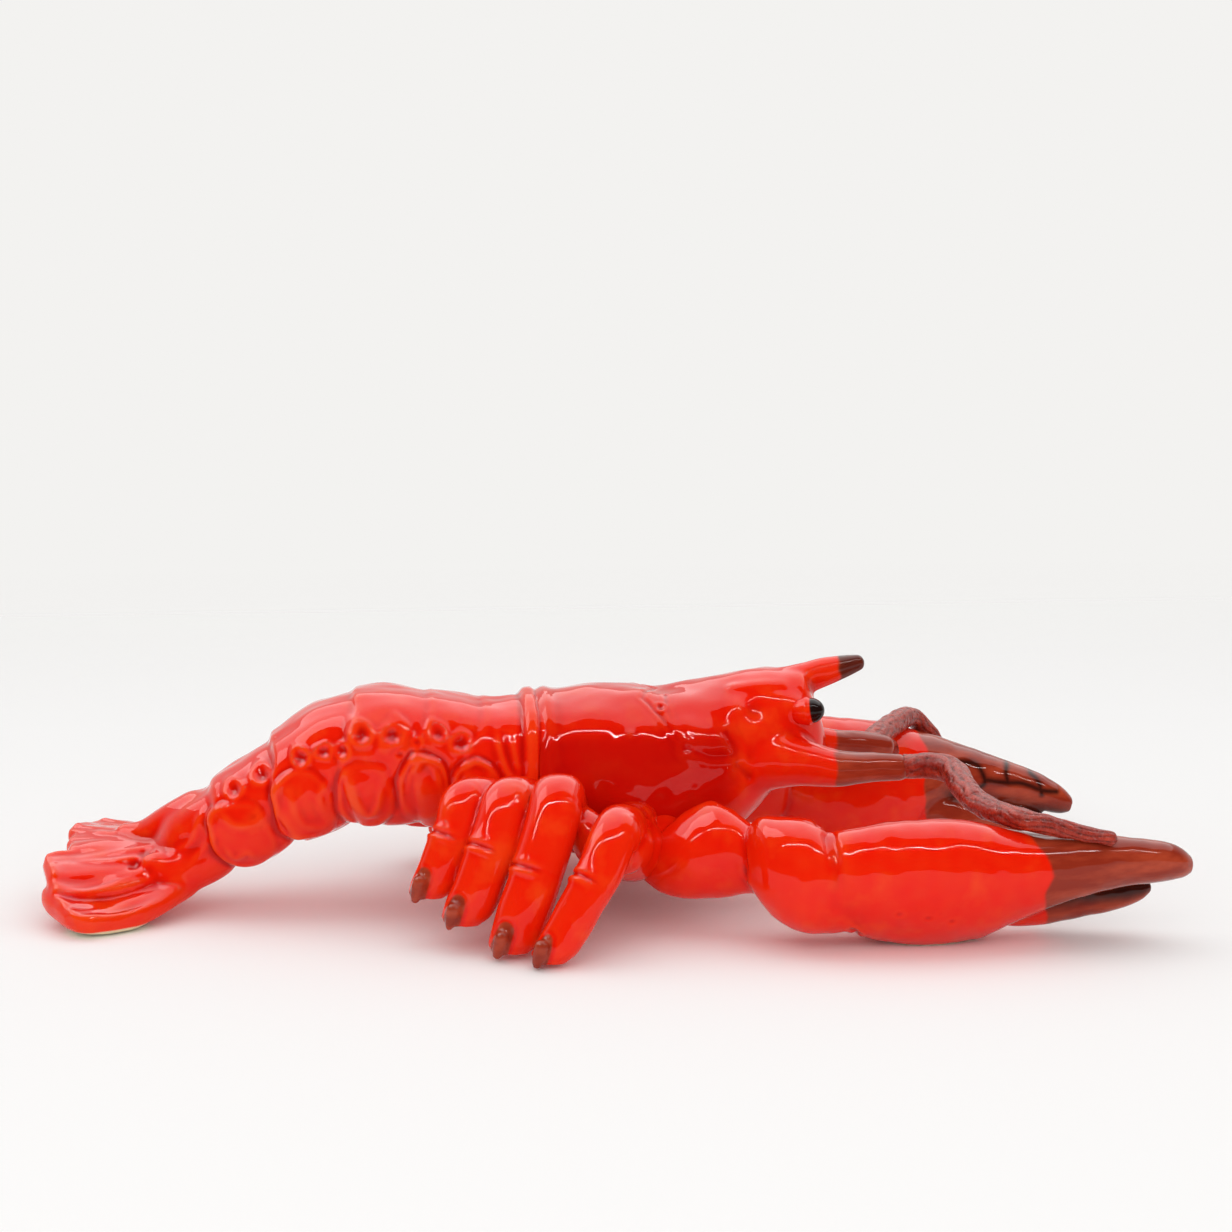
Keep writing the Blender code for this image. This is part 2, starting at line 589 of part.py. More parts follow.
def build_antennae(group, cutters, shell_seat, horn_seat, rests):
    """A fleshy scape on each cheek, and a rolled coil of clay that runs on to lie on a claw."""
    made = []
    for word, side, scape, sizes, coil in (
        ("right", -1, RIGHT_SCAPE, RIGHT_SCAPE_DIAMETERS, RIGHT_COIL),
        ("left", 1, LEFT_SCAPE, LEFT_SCAPE_DIAMETERS, LEFT_COIL),
    ):
        root = flank(CHEEK_AT, side, CHEEK_DROP, CHEEK_INSET)
        run = [root + Vector((dx, side * dy, dz)) for dx, dy, dz in scape]
        base = tube("antenna_base_" + word, run, sizes, group, BROWN, 18, 4)
        cut(base, shell_seat, horn_seat)
        base_seat = cutter_of(base, cutters)
        rest = rests[word]
        start = run[-1]
        path = [start + Vector((-COIL_BACK, 0, 0.0))]
        path += [start + Vector((dx, side * dy, dz)) for dx, dy, dz in coil["away"]]
        path += [
            rest["at"](along, around, COIL_DIAMETER / 2 * share)
            for along, around, share in coil["on_claw"]
        ]
        whip = tube(
            "antenna_" + word, path,
            (COIL_ROOT, COIL_DIAMETER, COIL_DIAMETER, COIL_DIAMETER * 0.98,
             COIL_DIAMETER * 0.9, COIL_TIP, COIL_TIP * 0.75),
            group, ROUGH, coil["points"], 2,
        )
        cut(whip, base_seat, *rest["seats"])
        made += [base, whip]
    return made


# Each coil's run from the end of its scape, then along the claw: the share of the claw's length,
# degrees round from its outer edge, and the share of the coil's thickness under its middle
RIGHT_COIL = {
    "away": ((0.0110, 0.0020, 0.0000), (0.0150, 0.0120, -0.0012), (0.0145, 0.0300, -0.0036),
             (0.0180, 0.0470, -0.0065)),
    "on_claw": ((0.52, 36.0, 1.05), (0.62, 26.0, 1.0), (0.72, 22.0, 0.86), (0.765, 22.0, 0.72)),
    "points": 34,
}
LEFT_COIL = {
    "away": ((0.0044, 0.0070, -0.0028), (-0.0007, 0.0170, -0.0018), (0.0032, 0.0280, 0.0006)),
    "on_claw": ((0.43, 10.0, 1.05), (0.51, -14.0, 1.02), (0.58, -40.0, 0.98), (0.66, -56.0, 0.84),
                (0.75, -56.0, 0.68)),
    "points": 38,
}


LEG_AT = (0.0, 0.2, 0.42, 0.60, 0.80, 0.90, 0.96, 1.0)
LEG_BROAD = (0.92, 0.94, 0.96, 0.97, 1.00, 1.00, 0.94, 0.60)
LEG_DEEP = (0.92, 0.94, 0.96, 0.92, 0.84, 0.74, 0.62, 0.36)


def leg_rings(corners, thick):
    """Sections of a leg. They stand square to it at the hip and turn level down the shin."""
    line, share = smooth_path(corners, 19)
    ahead = np.gradient(line, axis=0)
    for _ in range(4):
        ahead[1:-1] = (ahead[:-2] + ahead[1:-1] + ahead[2:]) / 3
    ahead /= np.linalg.norm(ahead, axis=1)[:, None]
    rings = []
    for at, way, part in zip(line, ahead, share):
        square = min(max((0.85 - part) / 0.35, 0.0), 1.0)
        side = np.array((1.0, 0.0, 0.0)) - way[0] * square * square * (3 - 2 * square) * way
        side /= np.linalg.norm(side)
        up = np.cross(side, way)
        up /= np.linalg.norm(up)
        half = thick / 2 * smooth(LEG_AT, LEG_BROAD, part)
        deep = thick / 2 * smooth(LEG_AT, LEG_DEEP, part)
        rings.append(ring(at, side, up, half, deep, deep, 2.4, 16))
    return rings


def build_legs(group, cutters, shell_seat, tail_seat, floor):
    """Four legs a side, each seated on the body and on the leg behind it."""
    seats = {}
    for word, side in (("right", -1), ("left", 1)):
        before = None
        for k in range(4):
            hip = flank(HIP_AT[k], side, HIP_RISE[k], HIP_INSET)
            knee_out = CARAPACE_WIDTH / 2 + KNEE_OUT[k]
            knee = Vector((KNEE_X[k], side * knee_out, KNEE_HEIGHT[k]))
            run = Vector((-FOOT_BACK[k], side * FOOT_OUT[k], FOOT_HEIGHT[k] - KNEE_HEIGHT[k]))
            corners = [hip, hip.lerp(knee, 0.55), knee]
            for down, out in (SHIN_SHARE, ANKLE_SHARE):
                corners.append(knee + Vector((run.x * down, run.y * out, run.z * down)))
            corners.append(knee + run)
            leg = skin(
                "walking_leg_%s_%d" % (word, k + 1), leg_rings(corners, LEG_DIAMETERS[k]), group, RED
            )
            cut(leg, shell_seat)
            if k < 3:
                cut(leg, tail_seat)
            if before is not None:
                cut(leg, before)
            cut(leg, floor)
            before = cutter_of(leg, cutters)
        seats[word] = before
    return seats


# The claw, as shares of its length: its palm with the fixed finger, and the loose finger
PALM_AT = (0.0, 0.06, 0.143, 0.278, 0.406, 0.504, 0.579, 0.639, 0.79, 0.86, 0.92, 0.97, 1.0)
PALM_BROAD = (0.70, 0.81, 0.953, 1.0, 0.925, 0.72, 0.58, 0.50, 0.385, 0.335, 0.285, 0.215, 0.12)
PALM_DEEP = (0.77, 0.853, 0.951, 1.0, 0.924, 0.77, 0.655, 0.58, 0.455, 0.405, 0.350, 0.270, 0.15)
RIGHT_SHIFT = (0.059, 0.039, 0.008, 0.0, -0.005, 0.048, 0.100, 0.149, 0.205, 0.212, 0.205, 0.185,
               0.165)
LEFT_SHIFT = (0.059, 0.039, 0.008, 0.0, 0.0, 0.120, 0.190, 0.215, 0.200, 0.170, 0.130, 0.085, 0.060)
FINGER_AT = (0.0, 0.20, 0.42, 0.66, 0.86, 0.95, 1.0)
FINGER_BROAD = (0.92, 1.02, 0.92, 0.74, 0.52, 0.36, 0.16)
FINGER_SHIFT = (-0.12, -0.180, -0.200, -0.175, -0.135, -0.115, -0.100)


class ClawFrame:
    """Where one claw lies: a line forward from the wrist, its broad way and its thick way."""

    def __init__(self, side, roll, dip, rest, spread, ahead, shifts):
        toe = math.radians(CLAW_TOE)
        down = math.radians(dip)
        self.spread = spread
        self.shifts = shifts
        self.forward = np.array(
            (math.cos(toe) * math.cos(down), -side * math.sin(toe), -math.sin(down))
        )
        out = np.cross((0, 0, 1), self.forward) * side
        out /= np.linalg.norm(out)
        lift = np.cross(self.forward, out) * side
        lift = lift if lift[2] > 0 else -lift
        turn = math.radians(roll)
        self.broad = out * math.cos(turn) + lift * math.sin(turn)
        self.thick = lift * math.cos(turn) - out * math.sin(turn)
        reach = PALM_WIDTH / 2 * float(smooth(PALM_AT, PALM_BROAD, rest)) * math.sin(turn)
        depth = PALM_THICK / 2 * float(smooth(PALM_AT, PALM_DEEP, rest)) * math.cos(turn)
        shift = self.shift(rest) * math.sin(turn)
        low = math.hypot(reach, depth) - shift - FOOT_GRIND
        self.lift = math.sin(down) * rest * CLAW_LENGTH
        self.start = np.array(
            (WRIST_X + ahead, side * (WRIST_OUT + PALM_OUTWARD), low + self.lift)
        )

    def shift(self, share):
        """How far the claw's middle lies off its line, towards its outer edge."""
        return PALM_WIDTH * float(smooth(PALM_AT, self.shifts, share))

    def point(self, along, across=0.0, over=0.0):
        return (
            self.start + self.forward * along * CLAW_LENGTH + self.broad * across + self.thick * over
        )

    def palm_rings(self, shares, inset=0.0, sides=18):
        rings = []
        for share in shares:
            rings.append(
                ring(
                    self.point(share, self.shift(share)), self.broad, self.thick,
                    PALM_WIDTH / 2 * smooth(PALM_AT, PALM_BROAD, share) - inset,
                    PALM_THICK / 2 * smooth(PALM_AT, PALM_DEEP, share) - inset,
                    PALM_THICK / 2 * smooth(PALM_AT, PALM_DEEP, share) - inset, 2.1, sides,
                )
            )
        return rings

    def finger_rings(self, shares):
        rings = []
        root = 1.0 - (FINGER_LENGTH + FINGER_BACK) / CLAW_LENGTH
        for share in shares:
            along = root + FINGER_LENGTH / CLAW_LENGTH * share
            shift = PALM_WIDTH * smooth(FINGER_AT, FINGER_SHIFT, share) * self.spread
            swell = smooth(FINGER_AT, FINGER_BROAD, share)
            rings.append(
                ring(
                    self.point(along, float(shift)), self.broad, self.thick,
                    FINGER_WIDTH / 2 * swell, FINGER_THICK / 2 * swell, FINGER_THICK / 2 * swell,
                    2.1, 12,
                )
            )
        return rings

    def resting(self, along, around, lift):
        """The middle of a coil that lies on the claw, around being degrees from its outer edge
        towards its upper face."""
        shift = self.shift(along)
        half = float(PALM_WIDTH / 2 * smooth(PALM_AT, PALM_BROAD, along))
        deep = float(PALM_THICK / 2 * smooth(PALM_AT, PALM_DEEP, along))
        out = math.cos(math.radians(around))
        over = math.sin(math.radians(around))
        away = self.broad * (out / half) + self.thick * (over / deep)
        away /= np.linalg.norm(away)
        return Vector(self.point(along, shift + half * out, deep * over) + away * lift)


def arm_rings(side, lift):
    """Round sections of the upper arm across X; its back peaks near the wrist."""
    rings = []
    knots = np.linspace(0, 1, len(ARM_X))
    for share in np.linspace(0, 1, 15):
        x, out, top, bottom, half = (
            float(smooth(knots, sizes, share))
            for sizes in (ARM_X, ARM_OUT, ARM_TOP, ARM_BOTTOM, ARM_HALF)
        )
        middle = (x, side * out, (top + bottom) / 2 + lift * share)
        high = (top - bottom) / 2
        rings.append(ring(middle, (0, 1, 0), (0, 0, 1), half, high, high, 2.0, 20))
    return rings


WRIST_AT = (0.0, 0.05, 0.14, 0.30, 0.48, 0.64, 0.76, 0.90, 1.0)


def wrist_rings(middle):
    """Squarish sections of the wrist's blunt block across X."""
    rings = []
    for share in (0.0, 0.03, 0.08, 0.15, 0.25, 0.38, 0.5, 0.62, 0.72, 0.82, 0.91, 1.0):
        top, bottom, half = (
            float(smooth(WRIST_AT, sizes, share)) for sizes in (WRIST_TOP, WRIST_BOTTOM, WRIST_HALF)
        )
        at = middle + Vector((WRIST_LENGTH * share - WRIST_REAR, 0, 0))
        rings.append(ring(at, (0, 1, 0), (0, 0, 1), half, top, bottom, 2.3, 20))
    return rings


def build_claws(group, cutters, shell_seat, leg_seats, floor):
    made = []
    rests = {}
    for word, side, roll, dip, rest, spread, ahead, shifts in (
        ("right", -1, RIGHT_ROLL, RIGHT_DIP, RIGHT_REST, RIGHT_SPREAD, PALM_AHEAD[0], RIGHT_SHIFT),
        ("left", 1, LEFT_ROLL, LEFT_DIP, LEFT_REST, LEFT_SPREAD, PALM_AHEAD[1], LEFT_SHIFT),
    ):
        frame = ClawFrame(side, roll, dip, rest, spread, ahead, shifts)
        tilt = ARM_TILT * frame.lift
        arm = skin("arm_" + word, arm_rings(side, tilt), group, RED)
        shoulder = flank(SHOULDER_AT, side, SHOULDER_DROP, SHOULDER_INSET)
        root = tube(
            "arm_root_" + word, [shoulder] + [Vector((x, side * y, z)) for x, y, z in ARM_ROOT],
            ARM_ROOT_DIAMETERS, cutters, GUIDE, 8, 3,
        )
        hide(root)
        join(arm, root)
        cut(arm, shell_seat, leg_seats[word], floor)
        arm_seat = cutter_of(arm, cutters)
        wrist_at = Vector((WRIST_X, side * WRIST_OUT, WRIST_HEIGHT + tilt))
        wrist = skin("wrist_" + word, wrist_rings(wrist_at), group, RED)
        cut(wrist, arm_seat, floor)
        wrist_seat = cutter_of(wrist, cutters)
        palm = skin(
            "claw_palm_" + word,
            frame.palm_rings(
                [0.0, 0.03, 0.08, 0.14, 0.21, 0.29, 0.37, 0.45, 0.53, 0.60, 0.67, 0.74, 0.81,
                 0.88, 0.94, 0.98, 1.0]
            ),
            group, RED,
        )
        palm_seat = cutter_of(palm, cutters)
        hollow = skin(
            "claw_hollow_" + word,
            frame.palm_rings(np.linspace(0.09, 0.48, 8), CLAW_WALL, 12), cutters, GUIDE,
        )
        hide(hollow)
        middle = frame.point(0.15)
        vent = vent_cutter("claw_vent_" + word, middle, -0.001, float(middle[2]), cutters)
        cut(palm, wrist_seat, hollow, vent, floor)
        finger = skin(
            "claw_finger_" + word,
            frame.finger_rings([0.0, 0.1, 0.22, 0.35, 0.48, 0.61, 0.73, 0.84, 0.92, 0.97, 1.0]),
            group, BROWN,
        )
        cut(finger, palm_seat, floor)
        finger_seat = cutter_of(finger, cutters)
        rests[word] = {"at": frame.resting, "seats": [palm_seat, finger_seat, wrist_seat]}
        made += [arm, wrist, palm, finger]
    return made, rests


clear_scene()
PARTS = new_collection("ceramic_lobster")
GUIDES = new_collection("seats_and_hollows")
RED = glaze("red glaze", RED_GLAZE, 0.06)
BROWN = glaze("red glaze with brown dip", BROWN_DIP, 0.08)
PUPIL = glaze("red glaze with black pupil", BLACK_PUPIL, 0.05)
ROUGH = glaze("rough brown glaze", ROUGH_BROWN, 0.45)
GUIDE = glaze("guide", (0.5, 0.5, 0.5, 1.0), 0.5)

carapace, carapace_seat = build_carapace(PARTS, GUIDES)
abdomen, abdomen_seat = build_tail(PARTS, GUIDES)
fan, table = build_fan(PARTS, GUIDES, abdomen_seat)
head, horn_seat = build_head(PARTS, GUIDES, carapace_seat)
legs = build_legs(PARTS, GUIDES, carapace_seat, abdomen_seat, table)
claws, claw_rests = build_claws(PARTS, GUIDES, carapace_seat, legs, table)
build_antennae(PARTS, GUIDES, carapace_seat, horn_seat, claw_rests)
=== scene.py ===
"""Glazed earthenware lobster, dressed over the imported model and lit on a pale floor.

Lengths in this file are millimetres in the model's own frame, +X to the head, +Y to the
animal's left and +Z up, and become metres only when a surface is put into a mesh.
"""

import logging
import math
from collections.abc import Callable
from dataclasses import dataclass, field
from enum import Enum

import bpy
import numpy as np
from mathutils import Matrix, Vector


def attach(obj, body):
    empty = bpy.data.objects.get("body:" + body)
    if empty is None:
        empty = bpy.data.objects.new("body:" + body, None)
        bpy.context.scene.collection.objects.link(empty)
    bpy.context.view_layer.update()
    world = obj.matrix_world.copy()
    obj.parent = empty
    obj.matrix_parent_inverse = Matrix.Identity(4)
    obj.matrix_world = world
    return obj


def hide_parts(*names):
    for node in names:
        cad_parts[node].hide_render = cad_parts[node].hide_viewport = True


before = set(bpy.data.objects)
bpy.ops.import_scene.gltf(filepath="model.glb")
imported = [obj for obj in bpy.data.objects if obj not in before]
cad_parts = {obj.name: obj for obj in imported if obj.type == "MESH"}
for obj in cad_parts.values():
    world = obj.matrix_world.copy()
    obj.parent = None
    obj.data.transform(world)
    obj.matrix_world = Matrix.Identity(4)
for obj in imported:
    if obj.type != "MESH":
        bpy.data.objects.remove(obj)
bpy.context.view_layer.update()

MM = 0.001
WAVE_COUNT = 14
WAVE_SCALE = 4.2
LEFTWARD = np.array((0.0, 1.0, 0.0))
UPWARD = np.array((0.0, 0.0, 1.0))
LOG = logging.getLogger("lobster")
Array = np.ndarray
Row = tuple[float, ...]
Spot = tuple[float, float]
Point = tuple[float, float, float]


class Side(Enum):
    """A side of the animal; the value is the sign of Y there."""

    RIGHT = -1
    LEFT = 1

    @property
    def word(self) -> str:
        """The side's word in node names."""
        return self.name.lower()


def linear(colour: str) -> Row:
    """Linear red, green, blue and full alpha of an sRGB colour in hex."""
    parts = (int(colour[i : i + 2], 16) / 255 for i in (1, 3, 5))
    return *(p / 12.92 if p <= 0.04045 else ((p + 0.055) / 1.055) ** 2.4 for p in parts), 1.0


# Curves and closed forms


def smooth(at: Array, values: Array, where: Array) -> Array:
    """Monotone cubic through stations: Hermite pieces whose slopes are weighted harmonic means.

    Args:
        at: rising places of the stations.
        values: value at each station.
        where: places to read.

    Returns:
        The value at each place.
    """
    at = np.asarray(at, float)
    values = np.asarray(values, float)
    step = np.diff(at)
    slope = np.diff(values) / step
    before, after = slope[:-1], slope[1:]
    wide = 2 * step[1:] + step[:-1]
    narrow = step[1:] + 2 * step[:-1]
    same = before * after > 0
    shared = wide / np.where(same, before, 1) + narrow / np.where(same, after, 1)
    mean = (wide + narrow) / np.where(same, shared, 1)
    tangent = np.concatenate([[slope[0]], np.where(same, mean, 0.0), [slope[-1]]])
    where = np.clip(np.asarray(where, float), at[0], at[-1])
    k = np.clip(np.searchsorted(at, where, side="right") - 1, 0, len(at) - 2)
    u = (where - at[k]) / step[k]
    return (
        (1 + 2 * u) * (1 - u) ** 2 * values[k]
        + u * (1 - u) ** 2 * step[k] * tangent[k]
        + u * u * (3 - 2 * u) * values[k + 1]
        + u * u * (u - 1) * step[k] * tangent[k + 1]
    )


def steps(line: Array) -> Array:
    """Length of each segment of a polyline."""
    return np.linalg.norm(np.diff(line, axis=0), axis=1)


def smooth_path(points: Array, count: int) -> tuple[Array, Array]:
    """Points along a Catmull-Rom curve through the given ones, spread evenly by chord length.

    Args:
        points: the points to pass through.
        count: how many points to return.

    Returns:
        The points, and the share of the whole chord length at each.
    """
    points = np.asarray(points, float)
    chord = np.concatenate([[0], np.cumsum(steps(points))])
    where = np.linspace(0, chord[-1], count)
    padded = np.vstack([2 * points[0] - points[1], points, 2 * points[-1] - points[-2]])
    k = np.clip(np.searchsorted(chord, where, side="right") - 1, 0, len(points) - 2)
    u = ((where - chord[k]) / (chord[k + 1] - chord[k]))[:, None]
    a, b, c, d = padded[k], padded[k + 1], padded[k + 2], padded[k + 3]
    line = 0.5 * (2 * b + (c - a) * u + (2 * a - 5 * b + 4 * c - d) * u**2 + (3 * b - a - 3 * c + d) * u**3)
    return line, where / chord[-1]


def unit(vectors: Array) -> Array:
    """The vectors scaled to length one along their last axis."""
    return vectors / np.maximum(np.linalg.norm(vectors, axis=-1, keepdims=True), 1e-12)


def step(low: float, high: float, value: Array) -> Array:
    """Smooth step: 0 below low, 1 above high, three u squared less two u cubed between."""
    u = np.clip((value - low) / (high - low), 0, 1)
    return u * u * (3 - 2 * u)


def bell(distance: Array, width: float) -> Array:
    """Bell curve: the exponential of minus the squared distance over the width."""
    return np.exp(-((distance / width) ** 2))


def waves(points: Array, length: float, seed: int) -> Array:
    """Gentle unevenness of about minus one to one: the mean of sines in seeded directions.

    Args:
        points: where to read it.
        length: mean wavelength.
        seed: seed of the directions and phases.

    Returns:
        The value at each point.
    """
    made = np.random.default_rng(seed)
    ways = unit(made.normal(size=(WAVE_COUNT, 3))) * (made.uniform(0.7, 1.5, size=(WAVE_COUNT, 1)) / length)
    phase = made.uniform(0, 2 * math.pi, WAVE_COUNT)
    return np.sin(2 * math.pi * points @ ways.T + phase).sum(axis=-1) / WAVE_SCALE


def around(sides: int) -> Array:
    """Evenly spread angles of a full turn."""
    return np.linspace(0, 2 * math.pi, sides, endpoint=False)


def dome(inward: Array) -> Array:
    """Share of its radius that a round end has at a share of the way in; it never quite closes."""
    return np.sqrt(np.clip(1 - (1 - np.clip(inward, 0, 1)) ** 2, 0.02, 1))


@dataclass
class Form:
    """A closed surface of quads, with a fan of triangles at each pole."""

    points: Array
    quads: Array
    tris: Array


def closed(grid: Array) -> Form:
    """Close a grid of rows and sides into a form, with a pole at the mean of each end row.

    Args:
        grid: points, as rows by sides by three.

    Returns:
        The closed form.
    """
    rows, sides = grid.shape[:2]
    i, j = np.meshgrid(np.arange(rows - 1), np.arange(sides), indexing="ij")
    k = (j + 1) % sides
    quads = np.stack([i * sides + j, (i + 1) * sides + j, (i + 1) * sides + k, i * sides + k], -1)
    near = np.arange(sides)
    after = (near + 1) % sides
    first, top = rows * sides, (rows - 1) * sides
    start = np.stack([near, after, np.full(sides, first)], -1)
    end = np.stack([top + after, top + near, np.full(sides, first + 1)], -1)
    points = np.vstack([grid.reshape(-1, 3), grid[0].mean(axis=0), grid[-1].mean(axis=0)])
    return Form(points, quads.reshape(-1, 4), np.vstack([start, end]))


def sections(
    centre: Array, side: Array, up: Array, wide: Array, above: Array, below: Array,
    squareness: float, sides: int, back: Array | None = None,
) -> Array:
    """Superellipse sections along a line.

    A point at angle t is the centre, plus side times signed cos t to the power two over the
    squareness times the half-width, plus up times the same of sin t.

    Args:
        centre: middle of each section.
        side: unit way across each section.
        up: unit way up each section.
        wide: half-width where the cosine is positive.
        above: height over the middle.
        below: depth under it.
        squareness: 2 is an ellipse, more is squarer.
        sides: points round a section.
        back: half-width where the cosine is negative, if it differs.

    Returns:
        A grid of rows by sides by three.
    """
    turn = around(sides)
    c, s = np.cos(turn), np.sin(turn)
    rows = len(centre)
    back = wide if back is None else back
    wide, back, above, below = (np.broadcast_to(v, (rows,))[:, None] for v in (wide, back, above, below))
    wide = np.where(c >= 0, wide, back) * (np.sign(c) * np.abs(c) ** (2 / squareness))
    high = np.where(s >= 0, above, below) * (np.sign(s) * np.abs(s) ** (2 / squareness))
    side = np.broadcast_to(side, (rows, 3))
    up = np.broadcast_to(up, (rows, 3))
    return centre[:, None] + wide[..., None] * side[:, None] + high[..., None] * up[:, None]


def upright(centre: Array, wide: Array, above: Array, below: Array, squareness: float, sides: int) -> Form:
    """A closed form of sections that stand across X; the arguments are those of sections."""
    return closed(sections(centre, LEFTWARD, UPWARD, wide, above, below, squareness, sides))


def frames(line: Array) -> tuple[Array, Array]:
    """Unit ways to the side and up along a line, up being as near to +Z as it can."""
    ahead = unit(np.gradient(line, axis=0))
    up = unit(UPWARD - (ahead @ UPWARD)[:, None] * ahead)
    return np.cross(ahead, up), up


def taper(diameters: Row, share: Array) -> Array:
    """Radius at shares of a rod whose diameters are evenly spread stations."""
    return smooth(np.linspace(0, 1, len(diameters)), np.asarray(diameters) / 2, share)


def rod(points: Array, diameters: Row, count: int, sides: int) -> Form:
    """A tapering round rod with domed ends along a smooth path.

    Args:
        points: points that the path passes through.
        diameters: thickness at evenly spread stations.
        count: rows along the rod.
        sides: points round it.

    Returns:
        The closed rod.
    """
    line, share = smooth_path(points, count)
    radius = taper(diameters, share)
    inward = np.minimum(share, 1 - share) * steps(line).sum()
    radius = radius * dome(inward / (0.8 * np.where(share < 0.5, radius[0], radius[-1])))
    return closed(sections(line, *frames(line), radius, radius, radius, 2.0, sides))


def ball(rows: int, sides: int, reach: Row) -> tuple[Array, Array]:
    """Grid of a ball, which is cosines and sines of two angles times half-sizes, and its latitudes."""
    high = np.linspace(-math.pi / 2, math.pi / 2, rows + 2)[1:-1]
    flat, turn = np.cos(high)[:, None], around(sides)
    grid = np.stack([flat * np.cos(turn), flat * np.sin(turn), np.sin(high)[:, None] * np.ones(sides)], -1)
    return grid * np.asarray(reach, float), high


def lump(centre: Point, reach: Point, turn: Point = (0, 0, 0)) -> Form:
    """An ellipsoid of half-sizes along X, Y and Z, turned by degrees about X, then Y, then Z."""
    ax, ay, az = (math.radians(a) for a in turn)
    spin = np.array(Matrix.Rotation(az, 3, "Z") @ Matrix.Rotation(ay, 3, "Y") @ Matrix.Rotation(ax, 3, "X"))
    return closed(ball(24, 36, reach)[0] @ spin.T + np.asarray(centre, float))


def nearest(points: Array, line: Array) -> tuple[Array, Array, Array]:
    """Drop each point square onto every segment of a polyline, and keep the nearest foot.

    Args:
        points: the points.
        line: the polyline's corners.

    Returns:
        Distance, length along the line at the foot, and the vector from the foot.
    """
    line = np.asarray(line, float)
    lengths = steps(line)
    starts = np.concatenate([[0], np.cumsum(lengths)])
    best = np.full(len(points), np.inf)
    along = np.zeros(len(points))
    away = np.zeros_like(points)
    for k, length in enumerate(lengths):
        run = (line[k + 1] - line[k]) / length
        t = np.clip((points - line[k]) @ run, 0, length)
        gap = points - line[k] - t[:, None] * run
        distance = np.linalg.norm(gap, axis=1)
        closer = distance < best
        best = np.where(closer, distance, best)
        along = np.where(closer, starts[k] + t, along)
        away = np.where(closer[:, None], gap, away)
    return best, along, away


def show(name: str, data: bpy.types.ID) -> bpy.types.Object:
    """Put data into the scene as a new object at the origin."""
    made = bpy.data.objects.new(name, data)
    bpy.context.scene.collection.objects.link(made)
    return made


def put(name: str, form: Form, masks: dict[str, Array]) -> bpy.types.Object:
    """Put a form into a new smooth mesh object, in metres, with its masks as attributes.

    Args:
        name: name of the object.
        form: the surface, in millimetres.
        masks: value at each point, by attribute name.

    Returns:
        The object, at the origin.
    """
    data = bpy.data.meshes.new(name)
    data.vertices.add(len(form.points))
    data.vertices.foreach_set("co", (form.points * MM).astype(np.float32).ravel())
    corners = np.concatenate([form.quads.ravel(), form.tris.ravel()])
    totals = np.concatenate([np.full(len(form.quads), 4), np.full(len(form.tris), 3)])
    data.loops.add(len(corners))
    data.loops.foreach_set("vertex_index", corners.astype(np.int32))
    data.polygons.add(len(totals))
    data.polygons.foreach_set("loop_start", (np.cumsum(totals) - totals).astype(np.int32))
    data.update(calc_edges=True)
    data.validate()
    data.shade_smooth()
    for word, values in masks.items():
        layer = data.attributes.new(word, "FLOAT", "POINT")
        layer.data.foreach_set("value", np.asarray(values, np.float32))
    return show(name, data)


def read(items: bpy.types.bpy_prop_collection, word: str, kind: type, width: int = 1) -> Array:
    """One property of all the items of a mesh, as a flat array."""
    values = np.zeros(len(items) * width, kind)
    items.foreach_get(word, values)
    return values


